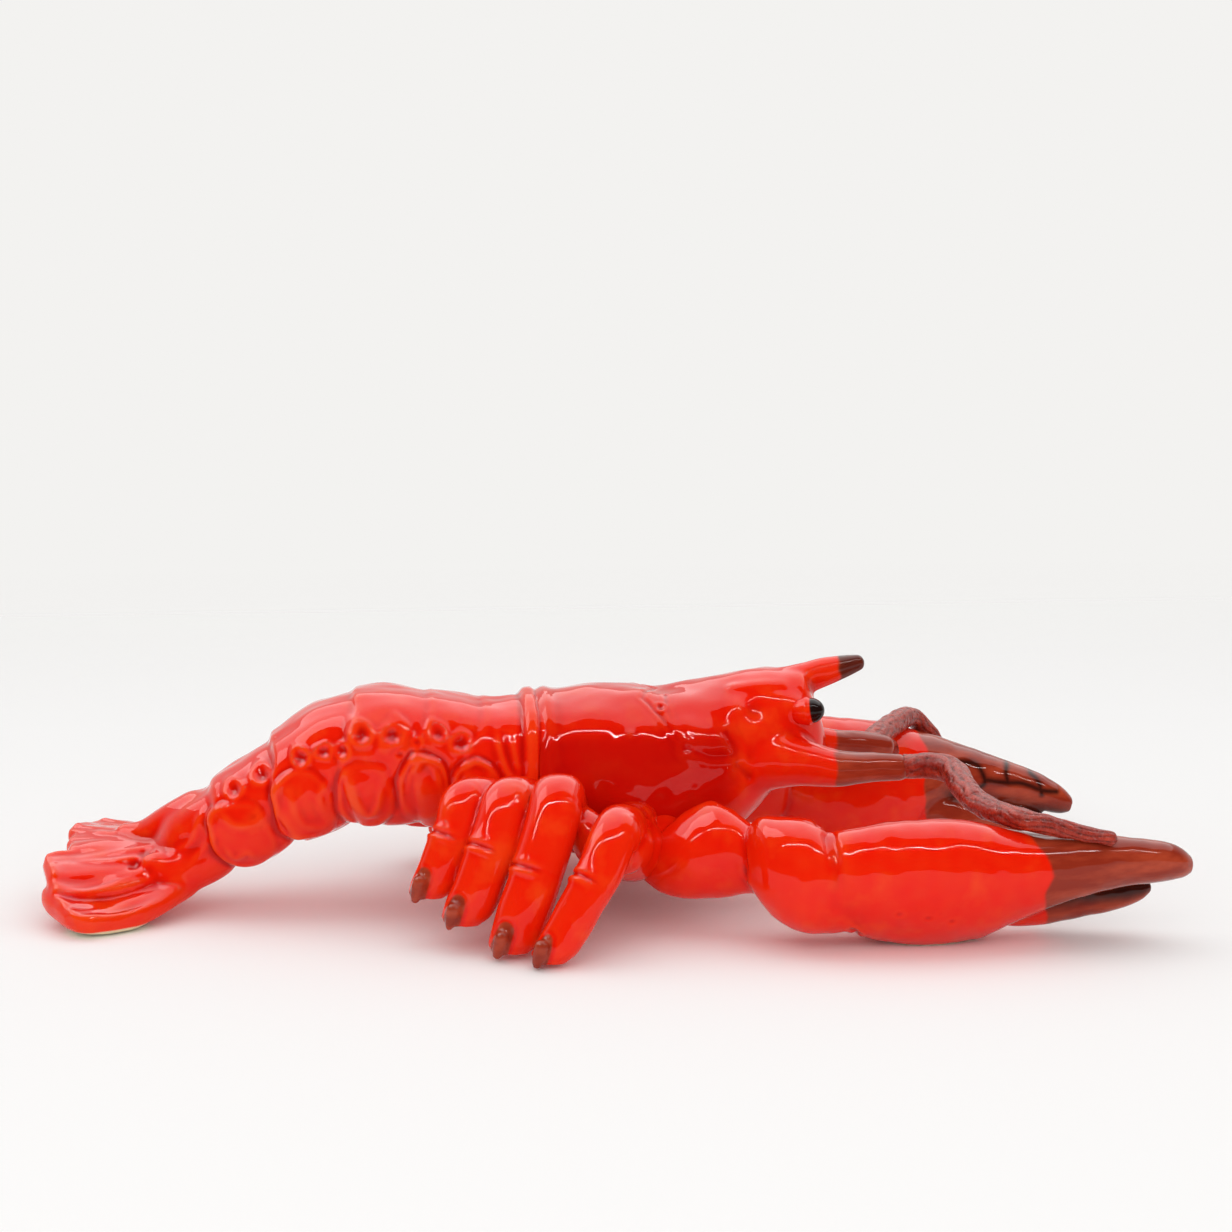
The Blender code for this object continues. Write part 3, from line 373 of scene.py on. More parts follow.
class Clay:
    """Closed forms luted into one skin, which is then softened, filled, pressed and glazed.

    The millimetres are the hollowness, over a few and over many neighbours, at which a crease
    holds a full pool of glaze and a ridge is fully bared; each goes with its share of the mask.
    """

    soften_in = 0.60
    soften_back = -0.62
    sharp_times, broad_times = 2, 14
    sharp_pool_mm, sharp_pool = 0.050, 0.60
    broad_pool_mm, broad_pool = 0.034, 0.45
    sharp_ridge_mm, broad_ridge_mm, ridge_share = 0.070, 0.045, 0.4

    def __init__(self, name: str, forms: list[Form], pitch: float) -> None:
        """Join the forms on a fine grid, which leaves only their common outside.

        Args:
            name: name of the finished piece.
            forms: the closed forms, which may run into each other.
            pitch: grid size in millimetres.
        """
        self.name = name
        offsets = np.cumsum([0] + [len(f.points) for f in forms])
        whole = Form(
            np.vstack([f.points for f in forms]),
            np.vstack([f.quads + o for f, o in zip(forms, offsets)]),
            np.vstack([f.tris + o for f, o in zip(forms, offsets)]),
        )
        rough = put(name + "_rough", whole, {})
        luting = rough.modifiers.new("Luting", "REMESH")
        luting.mode = "VOXEL"
        luting.voxel_size = pitch * MM
        luting.adaptivity = 0.0
        bpy.context.view_layer.update()
        joined = bpy.data.meshes.new_from_object(rough.evaluated_get(bpy.context.evaluated_depsgraph_get()))
        self.points = read(joined.vertices, "co", np.float32, 3).reshape(-1, 3).astype(float) / MM
        corners = read(joined.loops, "vertex_index", np.int32)
        totals = read(joined.polygons, "loop_total", np.int32)
        starts = np.cumsum(totals) - totals
        self.quads, self.tris = (corners[starts[totals == n][:, None] + np.arange(n)] for n in (4, 3))
        edges = read(joined.edges, "vertices", np.int32, 2)
        self.edges = edges.reshape(-1, 2)
        self.count = np.maximum(np.bincount(edges, minlength=len(self.points)), 1)
        bpy.data.objects.remove(rough, do_unlink=True)
        bpy.data.meshes.remove(joined)

    def mean(self, values: Array) -> Array:
        """Mean of the values at each point's neighbours along the edges."""
        a, b = self.edges.T
        flat = values.reshape(len(values), -1)
        total = [np.bincount(a, v[b], len(flat)) + np.bincount(b, v[a], len(flat)) for v in flat.T]
        return (np.stack(total, -1) / self.count[:, None]).reshape(values.shape)

    def spread(self, values: Array, times: int) -> Array:
        """The values after they are averaged with their neighbours a number of times."""
        for _ in range(times):
            values = (values + self.mean(values)) / 2
        return values

    def normals(self) -> Array:
        """Outward unit normal at each point: the summed cross products of its faces."""
        total = np.zeros_like(self.points)
        for faces, ends in ((self.quads, ((0, 2), (1, 3))), (self.tris, ((0, 1), (0, 2)))):
            p = self.points[faces]
            (a, b), (c, d) = ends
            way = np.cross(p[:, b] - p[:, a], p[:, d] - p[:, c])
            for corner in faces.T:
                for k in range(3):
                    total[:, k] += np.bincount(corner, way[:, k], len(total))
        return unit(total)

    def relax(self, share: Array | float) -> None:
        """Move each point towards its neighbours' mean by a share, away from it if negative."""
        self.points = self.points + share * (self.mean(self.points) - self.points)

    def soften(self, times: int) -> None:
        """Even out the skin a number of times, each step back longer so that it shrinks little."""
        for _ in range(times):
            self.relax(self.soften_in)
            self.relax(self.soften_back)
        self.relax(0.5)

    def hollow(self) -> Array:
        """How far the neighbours' mean stands outside each point; positive in creases."""
        return ((self.mean(self.points) - self.points) * self.normals()).sum(axis=1)

    def fill(self, times: int, bend: float) -> None:
        """Let slip and glaze settle into hollows: points move outwards only.

        Args:
            times: number of steps.
            bend: hollowness that is left as it is, in millimetres.
        """
        for _ in range(times):
            self.press(0.5 * np.maximum(self.hollow() - bend, 0))

    def ease(self, weight: Array, times: int) -> None:
        """Thumb a junction smooth: each point moves to its neighbours' mean by its own weight."""
        for _ in range(times):
            self.relax((0.5 * weight)[:, None])

    def press(self, depth: Array) -> None:
        """Move each point along its normal by a depth, outwards where it is positive."""
        self.points = self.points + depth[:, None] * self.normals()

    def piece(self, masks: dict[str, Array]) -> bpy.types.Object:
        """Grind the feet level and make the piece; its hollows and ridges become masks too.

        Args:
            masks: value at each point by attribute name; a share given under deep is added to the pool mask,
                darkening the red towards crimson.

        Returns:
            The finished piece.
        """
        self.points[:, 2] = np.maximum(self.points[:, 2], 0.0)
        gap = self.hollow()
        sharp, broad = self.spread(gap, self.sharp_times), self.spread(gap, self.broad_times)
        pool = np.clip(sharp / self.sharp_pool_mm, 0, 1) * self.sharp_pool
        pool = pool + np.clip(broad / self.broad_pool_mm, 0, 1) * self.broad_pool
        ridge = np.clip(-sharp / self.sharp_ridge_mm, 0, 1) * self.ridge_share
        given = {
            "pool": np.clip(pool + masks.pop("deep", 0.0), 0, 1),
            "ridge": ridge + np.clip(-broad / self.broad_ridge_mm, 0, 1) * self.ridge_share,
            "dip": np.zeros(len(self.points)),
            "bare": step(0.45, 0.15, self.points[:, 2]),
            **masks,
        }
        made = put(self.name, Form(self.points, self.quads, self.tris), given)
        LOG.info("%s: %d points, %d faces", self.name, len(self.points), len(self.quads))
        return made


@dataclass
class BodyPlan:
    """Sizes of the two cast body shells, and their sections at shares of their length."""

    rear_x: float = -26.0
    length: float = 114.0
    width: float = 70.0
    top: float = 85.0
    belly: float = 19.0
    head_rise: float = 7.5
    head_lift: float = 33.0
    tail_reach: float = 146.0
    tail_width: float = 63.0
    tail_hump: float = 3.5
    tail_lift: float = 8.0
    fan_height: float = 22.5
    seam: float = 0.3

    def carapace(self, share: Array) -> tuple[Array, Array, Array, Array, Array]:
        """Sections of the carapace: cubic stations of its width, chin and brow.

        Args:
            share: places along it, 0 at the seam and 1 at the front of the head.

        Returns:
            X, height of the middle, half-width, height above it and depth below it.
        """
        at = (0.00, 0.035, 0.07, 0.20, 0.34, 0.43, 0.50, 0.60, 0.72, 0.82, 0.91, 0.965, 1.00)
        broad = (0.93, 0.985, 0.96, 1.03, 1.02, 0.985, 0.975, 0.90, 0.76, 0.64, 0.51, 0.36, 0.16)
        chin = (0.12, 0.06, 0.05, 0.00, 0.00, 0.00, 0.00, 0.06, 0.38, 0.72, 0.92, 0.98, 1.08)
        brow = (-0.34, -0.10, -0.22, 0.00, -0.05, -0.28, -0.10, 0.22, 0.55, 0.78, 0.70, -0.9, -2.6)
        half = self.width / 2 * smooth(at, broad, share)
        top = self.top + self.head_rise * smooth(at, brow, share)
        bottom = self.belly + self.head_lift * smooth(at, chin, share)
        waist = bottom + 0.42 * (top - bottom)
        return self.rear_x + self.length * np.asarray(share), waist, half, top - waist, waist - bottom

    def flank(self, share: float, side: Side, rise: float, inset: float) -> Array:
        """A point on the carapace's lower flank, its rise negative, set in towards the middle."""
        x, waist, half, _, depth = self.carapace(share)
        return np.array((x, side.value * (half * math.sqrt(1 - rise * rise) - inset), waist + rise * depth))

    def tail(self, share: Array) -> tuple[Array, Array, Array, Array]:
        """Sections of the arched tail between a curve for its back and one for its underside.

        Args:
            share: places along it, 0 at the seam and 1 at the root of the fan.

        Returns:
            Middle, half-width, half-height and the unit way to the back.
        """
        at = (0.0, 0.09, 0.23, 0.36, 0.49, 0.61, 0.71, 0.81, 0.905, 1.0)
        broad = (0.99, 0.93, 0.99, 1.02, 0.99, 0.92, 0.84, 0.76, 0.68, 0.58)
        back_x = (0.0, 0.095, 0.245, 0.395, 0.560, 0.700, 0.785, 0.865, 0.950, 1.035)
        back_z = (-0.02, -0.080, -0.030, 0.012, -0.070, -0.290, -0.425, -0.560, -0.685, -0.780)
        belly_x = (0.0, 0.085, 0.220, 0.330, 0.455, 0.560, 0.645, 0.735, 0.830, 0.930)
        belly_z = (0.0, 0.040, 0.085, 0.110, 0.110, 0.060, -0.020, -0.110, -0.190, -0.260)
        rise = self.top + self.tail_hump - self.fan_height
        back, under = (
            np.stack([
                self.rear_x - self.seam - self.tail_reach * smooth(at, far, share),
                np.zeros_like(share),
                level + rise * smooth(at, high, share),
            ], -1)
            for far, high, level in (
                (back_x, back_z, self.top),
                (belly_x, belly_z, self.belly + self.tail_lift),
            )
        )
        run = back - under
        height = np.linalg.norm(run, axis=-1) / 2
        return (back + under) / 2, self.tail_width / 2 * smooth(at, broad, share), height, unit(run)


PLAN = BodyPlan()


def each(press: Callable[..., None], *rows: tuple) -> None:
    """Press one kind of feature once for each row of its values."""
    for row in rows:
        press(*row)


class Relief:
    """Depths to press into a skin: stated on the animal's right, and the same on its left."""

    def __init__(self, points: Array) -> None:
        """Fold the points over to the right."""
        self.points = points.copy()
        self.points[:, 1] = -np.abs(points[:, 1])
        self.depth = np.zeros(len(points))

    def bump(self, centre: Point, width: float, height: float) -> None:
        """Add a bell of a width and height round a centre; a hollow where it is negative."""
        self.depth += height * bell(np.linalg.norm(self.points - centre, axis=1), width)

    def ridge(self, line: list[Point], width: float, height: float) -> None:
        """Add a bell across a line; a groove where it is negative."""
        self.depth += height * bell(nearest(self.points, line)[0], width)

    def crease(self, line: list[Point], width: float, depth: float) -> None:
        """A narrow groove along a line, with a soft lip beside it."""
        distance = nearest(self.points, line)[0]
        self.depth += depth * (0.4 * bell(distance - 2.1 * width, width) - bell(distance, width))

    def dimple(self, centre: Point, radius: float, depth: float, rim: float) -> None:
        """A round pit inside a raised rim: one bell down at the middle, one up at the radius."""
        distance = np.linalg.norm(self.points - centre, axis=1)
        self.depth += rim * bell(distance - radius, 0.34 * radius) - depth * bell(distance, 0.62 * radius)

    def flank(self) -> Array:
        """Share of each point that faces sideways: none near the middle plane, all beyond it."""
        return step(-4.0, -11.0, self.points[:, 1])

    def seen(self, centre: Spot, reach: Spot = (1.0, 1.0), tilt: float = 0.0) -> tuple[Array, Array]:
        """Offsets from a centre in X and Z, turned by a tilt in degrees, over the half-sizes."""
        x, z = self.points[:, 0] - centre[0], self.points[:, 2] - centre[1]
        c, s = math.cos(math.radians(tilt)), math.sin(math.radians(tilt))
        return (x * c + z * s) / reach[0], (-x * s + z * c) / reach[1]

    def warp(self, centre: Spot, length: float, seed: int) -> Array:
        """Gentle waves round a centre that are the same through the animal's width."""
        x, z = self.seen(centre)
        return waves(np.stack([x, z, 0 * x], -1), length, seed)

    def swell(self, centre: Spot, reach: Spot, height: float, tilt: float) -> None:
        """A soft bulge seen from the side: the root of a smooth step of an elliptical distance."""
        distance = np.hypot(*self.seen(centre, reach, tilt))
        self.depth += self.flank() * height * np.sqrt(step(1.15, 0.25, distance))

    def lobe(
        self, centre: Spot, reach: Spot, tilt: float, height: float, rim: float, lit: float, seed: int,
    ) -> None:
        """A soft bulge seen from the side, with a thin rolled edge that is strongest on one side.

        The distance is a rounded-square length of the offset over the half-sizes, warped by
        gentle waves. The bulge is the root of a smooth step of it, the edge a bell just inside
        one, and a groove a bell just outside.

        Args:
            centre: X and Z of the middle.
            reach: half-sizes along and across.
            tilt: degrees that it leans.
            height: height of the bulge.
            rim: height of the rolled edge.
            lit: degrees round from the head end, over the top, where the edge is strongest.
            seed: seed of the warp.
        """
        u, v = self.seen(centre, reach, tilt)
        d = (np.abs(u) ** 2.5 + np.abs(v) ** 2.5) ** 0.4 + 0.06 * self.warp(centre, 15.0, seed)
        part = 0.25 + 0.75 * step(-0.5, 0.6, np.cos(np.arctan2(v, u) - math.radians(lit)))
        edge = rim * part * (bell(d - 0.93, 0.09) - 0.7 * bell(d - 1.11, 0.085))
        self.depth += self.flank() * (height * np.sqrt(step(1.15, 0.10, d)) + edge)

    def pit(self, centre: Spot, radius: float, depth: float, seed: int) -> None:
        """A pit seen from the side, inside a raised, uneven rim of half its depth."""
        d = np.hypot(*self.seen(centre)) * (1 + 0.16 * self.warp(centre, 9.0, seed))
        self.depth += self.flank() * depth * (0.5 * bell(d - radius, 0.36 * radius) - bell(d, 0.60 * radius))

    def stroke(self, line: list[Spot], width: float, height: float) -> None:
        """A ridge drawn from the side along a line in X and Z, smooth and fading at its ends."""
        run, _ = smooth_path(line, 14)
        distance, along, _ = nearest(self.points[:, [0, 2]], run)
        along = along / steps(run).sum()
        ends = step(0, 0.22, along) * step(1, 0.78, along)
        self.depth += self.flank() * height * (0.25 + 0.75 * ends) * bell(distance, width)


@dataclass
class HeadAndBack:
    """Carapace with the rostrum, both fleshy antenna roots and the brow over the eyes."""

    pitch: float = 0.65
    rostrum_tip_x: float = 94.0
    scape_dip_x: float = 88.0
    left_dip_shift: float = 8.5
    squareness: float = 2.25

    def forms(self) -> list[Form]:
        """Closed forms of the head: the shell, and rods and lumps that run into it."""
        share = np.concatenate([np.linspace(0, 0.94, 150), 1 - 0.06 * (1 - np.linspace(0, 1, 26)[1:]) ** 1.6])
        x, waist, half, height, depth = PLAN.carapace(share)
        shell = upright(np.stack([x, np.zeros_like(x), waist], -1), half, height, depth, self.squareness, 120)
        rostrum = [(44, 0, 70), (60, 0, 79), (73.3, 0, 84), (84, 0, 86.9), (94.3, 0, 89.8), (104.4, 0, 92.8)]
        right = [
            (44, -8, 56), (60, -16, 57.3), (74, -20.0, 56.4), (86, -22.5, 54.9), (96, -23, 54.2),
            (106, -23.2, 54.6), (117.5, -24.2, 55.0),
        ]
        left = [
            (44, 8, 57), (60, 14, 57.4), (76, 19, 57.2), (90.5, 21.0, 56.4), (106, 24.5, 54.6),
            (122.0, 27.5, 51.6),
        ]
        return [
            shell,
            rod(rostrum, (28, 26, 22.5, 17.0, 13.2, 11.0, 9.2, 6.2), 80, 48),
            rod(right, (28, 27, 23.5, 19.4, 14.8, 12.4, 11.2, 9.8), 80, 48),
            rod(left, (26, 24, 19, 14.2, 12.0, 11.2, 10.4, 9.2), 80, 48),
            *(lump((66.5, 13.0 * s, 77.5), (14.0, 7.4, 7.6), (0, 10, 8 * s)) for s in (-1, 1)),
        ]

    def build(self) -> bpy.types.Object:
        """Lute, soften and press the head, and mark where it was dipped."""
        clay = Clay("head_and_back", self.forms(), self.pitch)
        clay.soften(3)
        x, _, z = clay.points.T
        cheek = step(50, 60, x) * step(84, 74, x) * step(76, 68, z)
        snout = step(52, 60, x) * step(80, 70, x) * step(70, 76, z)
        clay.ease(np.maximum(cheek, 0.8 * snout), 70)
        clay.fill(44, 0.010)
        clay.soften(2)
        relief = Relief(clay.points)
        each(
            relief.crease,
            ([(21, 0, 83), (16.5, -9, 83), (14.5, -15, 81.5), (19.2, -20.7, 77.4), (29.8, -30.8, 63.9)],
             0.9, 0.45),
            ([(24, -11, 81.6), (23.7, -15.3, 79.4), (24.3, -22.6, 74.1), (30.6, -30.6, 64.7)], 0.8, 0.4),
            ([(29.5, -30.7, 64.3), (38.7, -30.4, 61.8), (46.3, -28.1, 61.4)], 1.5, 0.5),
            ([(45.3, -27.3, 69.5), (48.9, -27.9, 62.8), (49.2, -28, 57.8), (54, -26.5, 53)], 1.6, 0.55),
        )
        each(
            relief.ridge,
            ([(50, -13, 85), (60, -13.5, 85.4), (69, -12.5, 84.6)], 2.6, 0.9),
            ([(73, -19, 68.5), (80, -21, 64.2), (90, -22, 60.5), (104, -22.5, 59.2)], 1.2, 0.35),
            ([(-23, -30, 72), (-20.5, -33, 58)], 1.5, -0.25),
        )
        each(
            relief.bump,
            ((36.5, -29.6, 68.8), 6.5, 1.5), ((44, -28, 66.5), 4.2, 1.1), ((30, -27.5, 73.5), 5.0, 0.7),
            ((8.2, -29.4, 70.3), 1.9, 0.8), ((57.5, -20.5, 77.5), 4.6, -1.5), ((50.5, -20.5, 77.8), 3.6, 0.9),
            ((84, -6, 84.5), 4.4, -1.1),
        )
        relief.dimple((21, -18.6, 78.5), 2.2, 0.7, 0.35)
        clay.press(relief.depth + 0.36 * waves(clay.points, 26.0, 5) + 0.10 * waves(clay.points, 12.0, 6))
        clay.soften(1)
        x, y, z = clay.points.T
        wobble = 0.8 * waves(clay.points, 7.0, 11)
        tip = step(-0.7, 0.7, x - self.rostrum_tip_x + wobble) * step(76, 80, z)
        start = self.scape_dip_x + self.left_dip_shift * step(-5, 5, y)
        horns = step(-0.9, 0.9, x - start + wobble) * step(72, 68, z)
        # Darker crimson over the back behind the head, and more of it low on the flank, below about 66 to 75
        # mm; it goes into the pool mask.
        deep = (0.62 * step(75, 66, z) + 0.25) * step(54, 42, x)
        piece = clay.piece({"dip": np.maximum(tip, horns), "soot": tip * 0.75, "deep": deep})
        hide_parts("carapace_shell", "rostrum", "antenna_base_right", "antenna_base_left")
        return piece


@dataclass
class Leaf:
    """Sizes of one leaf of the fan; its heading is from straight back, to the animal's left."""

    root: Point
    heading: float
    length: float
    tip_z: float
    curl: float
    roll: float
    width: float
    thick: float
    broad: Row
    flutes: float
    rim: float
    phase: float
    squareness: float = 3.3
    sides: int = 96

    def form(self, fall: float) -> Form:
        """A thick rounded slab that widens from its root to its tip.

        Sections are superellipses; the upper side carries flutes, two cosines of the place
        across it that drift along it, and a rolled rim, a bell near the edge and round the tip.
        The middle line falls with a power of the rest of its length and curls up at the tip.

        Args:
            fall: the power of that fall.

        Returns:
            The closed slab.
        """
        angle = math.radians(self.heading)
        root = np.asarray(self.root, float)
        out = self.length * np.array((-math.cos(angle), math.sin(angle), 0.0))
        run = out + (0, 0, self.tip_z - root[2])
        forward = unit(run)
        side = -unit(np.cross(UPWARD, forward))
        up = np.cross(side, forward)
        up = up if up[2] > 0 else -up
        c, s = math.cos(math.radians(self.roll)), math.sin(math.radians(self.roll))
        side, up = side * c + up * s, up * c - side * s
        share = 1 - (1 - np.linspace(0, 1, 100)) ** 1.5
        half = self.width / 2 * smooth((0.0, 0.12, 0.35, 0.62, 0.84, 0.95, 1.0), self.broad, share)
        body = self.thick / 2 * smooth((0.0, 0.3, 0.8, 0.95, 1.0), (1.0, 0.95, 1.0, 0.88, 0.45), share)
        middle = root + run * share[:, None]
        middle[:, 2] = root[2] + run[2] * (1 - (1 - share) ** fall) + self.curl * step(0.55, 1.05, share)
        grid = sections(middle, side, up, half, body, body, self.squareness, self.sides)
        turn = around(self.sides)
        across = np.cos(turn)[None]
        top = np.clip(np.sin(turn), 0, 1) ** 0.5
        grow = step(0.10, 0.42, share) * step(1.0, 0.94, share)
        drift = (0.9 * np.sin(4.0 * share + self.phase))[:, None]
        wave = np.cos(math.pi * 2.1 * across + self.phase + drift)
        wave = wave + 0.5 * np.cos(math.pi * 4.3 * across - drift)
        edge = bell(np.maximum(np.abs(across), share[:, None] ** 3) - 0.88, 0.15) - 0.4
        lift = grow[:, None] * top * (self.flutes * wave * (1 - across**4) + self.rim * edge)
        return closed(grid + lift[..., None] * up)


@dataclass
class TailAndFan:
    """The arched tail with its overlapping rings and side lobes, and the five leaves behind."""

    pitch: float = 0.74
    rings: Row = (0.0, 0.134, 0.265, 0.43, 0.61, 0.803, 1.0)
    ring_step: Row = (0.8, 0.9, 1.1, 2.4, 2.8, 0.9)
    slant: float = 0.065
    lobe_hang: float = 3.2
    fan_ease: float = 1.9
    squareness: float = 2.35
    sides: int = 132
    leaves: tuple[Leaf, ...] = (
        Leaf((-161, 0, 26.0), 2.0, 45.0, 20.2, 0.6, 9, 30, 10.0,
             (0.62, 0.72, 0.90, 1.0, 0.98, 0.86, 0.54), 0.60, 0.5, 0.4),
        Leaf((-161, -5, 21.5), -13.5, 52.4, 15.2, 1.8, 22, 29, 10.0,
             (0.55, 0.66, 0.86, 1.0, 1.0, 0.88, 0.56), 0.66, 1.0, 1.0),
        Leaf((-160, 5, 25.5), 17.5, 47.5, 22.0, 0.4, 0, 29, 10.0,
             (0.50, 0.62, 0.84, 1.0, 0.98, 0.86, 0.54), 0.40, 0.6, 2.0),
        Leaf((-160, -8, 14.0), -26.5, 53.6, 4.9, 3.2, 8, 36, 10.5,
             (0.50, 0.64, 0.88, 1.0, 1.0, 0.88, 0.58), 0.45, 1.7, 0.2),
        Leaf((-159, 8, 26.0), 30.5, 50.5, 23.0, 0.5, -5, 33, 9.5,
             (0.46, 0.62, 0.88, 1.0, 0.98, 0.86, 0.54), 0.45, 0.9, 2.6),
    )

    def arch(self) -> Form:
        """The tail: superellipse sections whose radius grows along each ring and steps in to
        the next; the rings slant rearwards down the flanks and their lower edges hang. The
        rear end closes like a dome among the roots of the fan."""
        share = np.linspace(0, 1, 320)
        centre, half, height, up = PLAN.tail(share)
        close = np.sqrt(1 - 0.84 * np.clip((share - 0.93) / 0.07, 0, 1) ** 2)
        narrow = 1 - 0.30 * step(0.74, 1.0, share)
        sink = 1 - 0.26 * step(0.88, 1.0, share)
        half, height = half * close * narrow, height * close
        above, below = height * sink, height * narrow
        grid = sections(centre, LEFTWARD, up, half, above, below, self.squareness, self.sides)
        turn = around(self.sides)
        slid = share[:, None] - self.slant * step(0.9, 0.0, np.sin(turn))
        starts = np.asarray(self.rings)
        k = np.clip(np.searchsorted(starts, slid, side="right") - 1, 0, len(starts) - 2)
        phase = np.clip((slid - starts[k]) / (starts[k + 1] - starts[k]), 0, 1)
        rise = np.where(phase < 0.93, phase / 0.93, (1 - phase) / 0.07)
        amount = smooth((starts[1:] + starts[:-1]) / 2, self.ring_step, slid)
        swell = amount * (step(0, 1, rise) * 0.6 + 0.4 * rise - 0.5)
        swell = swell * (step(0.0, 0.04, share) * step(1.0, 0.92, share))[:, None]
        low = np.clip(-np.sin(turn), 0, 1) * np.abs(np.cos(turn)) ** 0.5
        fade = (np.minimum(1, share / 0.3) * step(0.95, 0.76, share))[:, None]
        lobe = self.lobe_hang * np.sin(math.pi * phase) ** 0.7 * fade * low
        return closed(grid + swell[..., None] * unit(grid - centre[:, None]) - lobe[..., None] * up[:, None])

    def forms(self) -> list[Form]:
        """The arch, its tongue inside the back shell, the curl, both necks and the saddle that
        carry the fan, and its leaves."""
        x = -30.0 + 12.0 * np.linspace(0, 1, 30)
        return [
            self.arch(),
            upright(np.stack([x, 0 * x, 0 * x + 55.0], -1), 30.5, 27.6, 27.0, self.squareness, 120),
            lump((-168.0, -12.0, 20.5), (9.5, 6.5, 5.5), (20, 10, 20)),
            rod([(-143, -4, 29), (-153, -7, 22.5), (-163, -10, 17.5), (-173, -14, 14)],
                (20, 22, 20, 13), 60, 48),
            rod([(-143, 4, 30), (-154, 7, 26.5), (-166, 12, 25.0)], (18, 18, 10), 60, 48),
            rod([(-148, 2, 40), (-157, 3, 35), (-166, 5, 30.5), (-176, 8, 27), (-188, 13, 26.5)],
                (22, 21, 18, 13, 8), 60, 48),
            *(leaf.form(self.fan_ease) for leaf in self.leaves),
        ]

    def flanks(self, relief: Relief) -> None:
        """Press the side lobes, the strokes over them, the row of pits and the sinews."""
        each(
            relief.lobe,
            ((-115.0, 45.0), (11.6, 13.4), 8, 1.9, 0.85, 195, 60),
            ((-92.0, 48.5), (10.2, 13.2), 4, 1.6, 0.70, 225, 61),
            ((-70.0, 51.5), (9.2, 12.8), -2, 1.4, 0.95, 110, 62),
            ((-50.0, 50.5), (8.6, 11.5), 0, 1.1, 0.60, 110, 63),
            ((-138.5, 33.5), (11.4, 13.4), 24, 1.9, 0.80, 190, 64),
        )
        relief.swell((-112.5, 42.0), (5.5, 7.0), -0.7, 15)
        each(
            relief.stroke,
            ([(-97.4, 57), (-95.6, 48.6), (-91, 41.9), (-87.4, 45), (-85.5, 54.7)], 1.5, 0.75),
            ([(-76.4, 51.8), (-74.3, 58.5), (-69.8, 62.2), (-65.3, 58.2), (-63.5, 51)], 1.5, 0.8),
            ([(-121, 53), (-118, 44), (-114.5, 38), (-108, 37)], 1.7, 0.55),
            ([(-104.5, 57), (-109, 49), (-107, 41)], 1.6, 0.5),
            ([(-146.5, 43), (-140.5, 38), (-133, 38.5), (-128.5, 43)], 1.6, 0.7),
            ([(-145, 30), (-141, 24.5), (-136.5, 27.5), (-133.5, 24)], 1.5, 0.6),
            ([(-149, 44), (-154.5, 38), (-158, 30), (-165, 26)], 1.5, 0.7),
            ([(-147, 36), (-152, 29), (-158, 22)], 1.5, 0.5),
            ([(-54.5, 59), (-50, 62), (-45.5, 58), (-43.5, 51)], 1.5, 0.6),
            ([(-42, 71.5), (-41.3, 65.5), (-38.6, 57.5), (-34.5, 51)], 1.5, 1.1),
            ([(-36.4, 69.5), (-35.2, 62), (-33.5, 57)], 1.3, 0.7),
        )
        each(
            relief.pit,
            ((-93.0, 72.8), 4.1, 1.5, 80), ((-81.4, 72.2), 4.3, 1.5, 81), ((-63.9, 72.1), 3.5, 1.0, 82),
            ((-55.6, 68.0), 3.7, 1.3, 83), ((-72.0, 69.2), 2.0, 0.6, 84), ((-115.4, 63.8), 3.3, 1.4, 85),
            ((-107.3, 66.0), 3.0, 1.2, 86), ((-99.8, 66.6), 3.0, 1.1, 87), ((-130.8, 56.2), 3.5, 1.4, 88),
            ((-141.0, 50.8), 3.2, 1.1, 89), ((-78.5, 65.0), 1.9, 0.5, 90),
        )

    def build(self) -> bpy.types.Object:
        """Lute, soften and press the tail, and leave the ground edge of the fan unglazed."""
        clay = Clay("tail_and_fan", self.forms(), self.pitch)
        clay.soften(4)
        x = clay.points[:, 0]
        clay.ease(step(-146, -154, x) * step(-178, -168, x), 34)
        clay.fill(26, 0.012)
        clay.soften(1)
        relief = Relief(clay.points)
        self.flanks(relief)
        relief.ridge([(-207, -27, 14.5), (-196.3, -26.5, 12.5), (-186, -23, 15), (-176, -18.5, 19)], 1.8, 0.8)
        sockets = ((-179.5, -14.5, 21), (-172.5, -16, 21), (-176, -11, 25))
        each(relief.bump, *((at, 2.6, -1.2) for at in sockets))
        x, _, z = clay.points.T
        relief.depth += bell(x + 29.4, 1.9) * 0.9 - bell(x + 25.7, 0.8) * 0.7 - bell(x + 32.6, 1.2) * 0.45
        relief.depth += bell(x + 37.0, 4.0) * 0.5 * step(60, 75, z)
        clay.press(relief.depth + 0.40 * waves(clay.points, 27.0, 8) + 0.12 * waves(clay.points, 11.0, 9))
        clay.soften(1)
        x, _, z = clay.points.T
        piece = clay.piece({"bare": step(2.7, 2.1, z) * step(-150, -160, x)})
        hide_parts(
            "abdomen_shell", "telson",
            "uropod_inner_right", "uropod_inner_left", "uropod_outer_right", "uropod_outer_left",
        )
        return piece


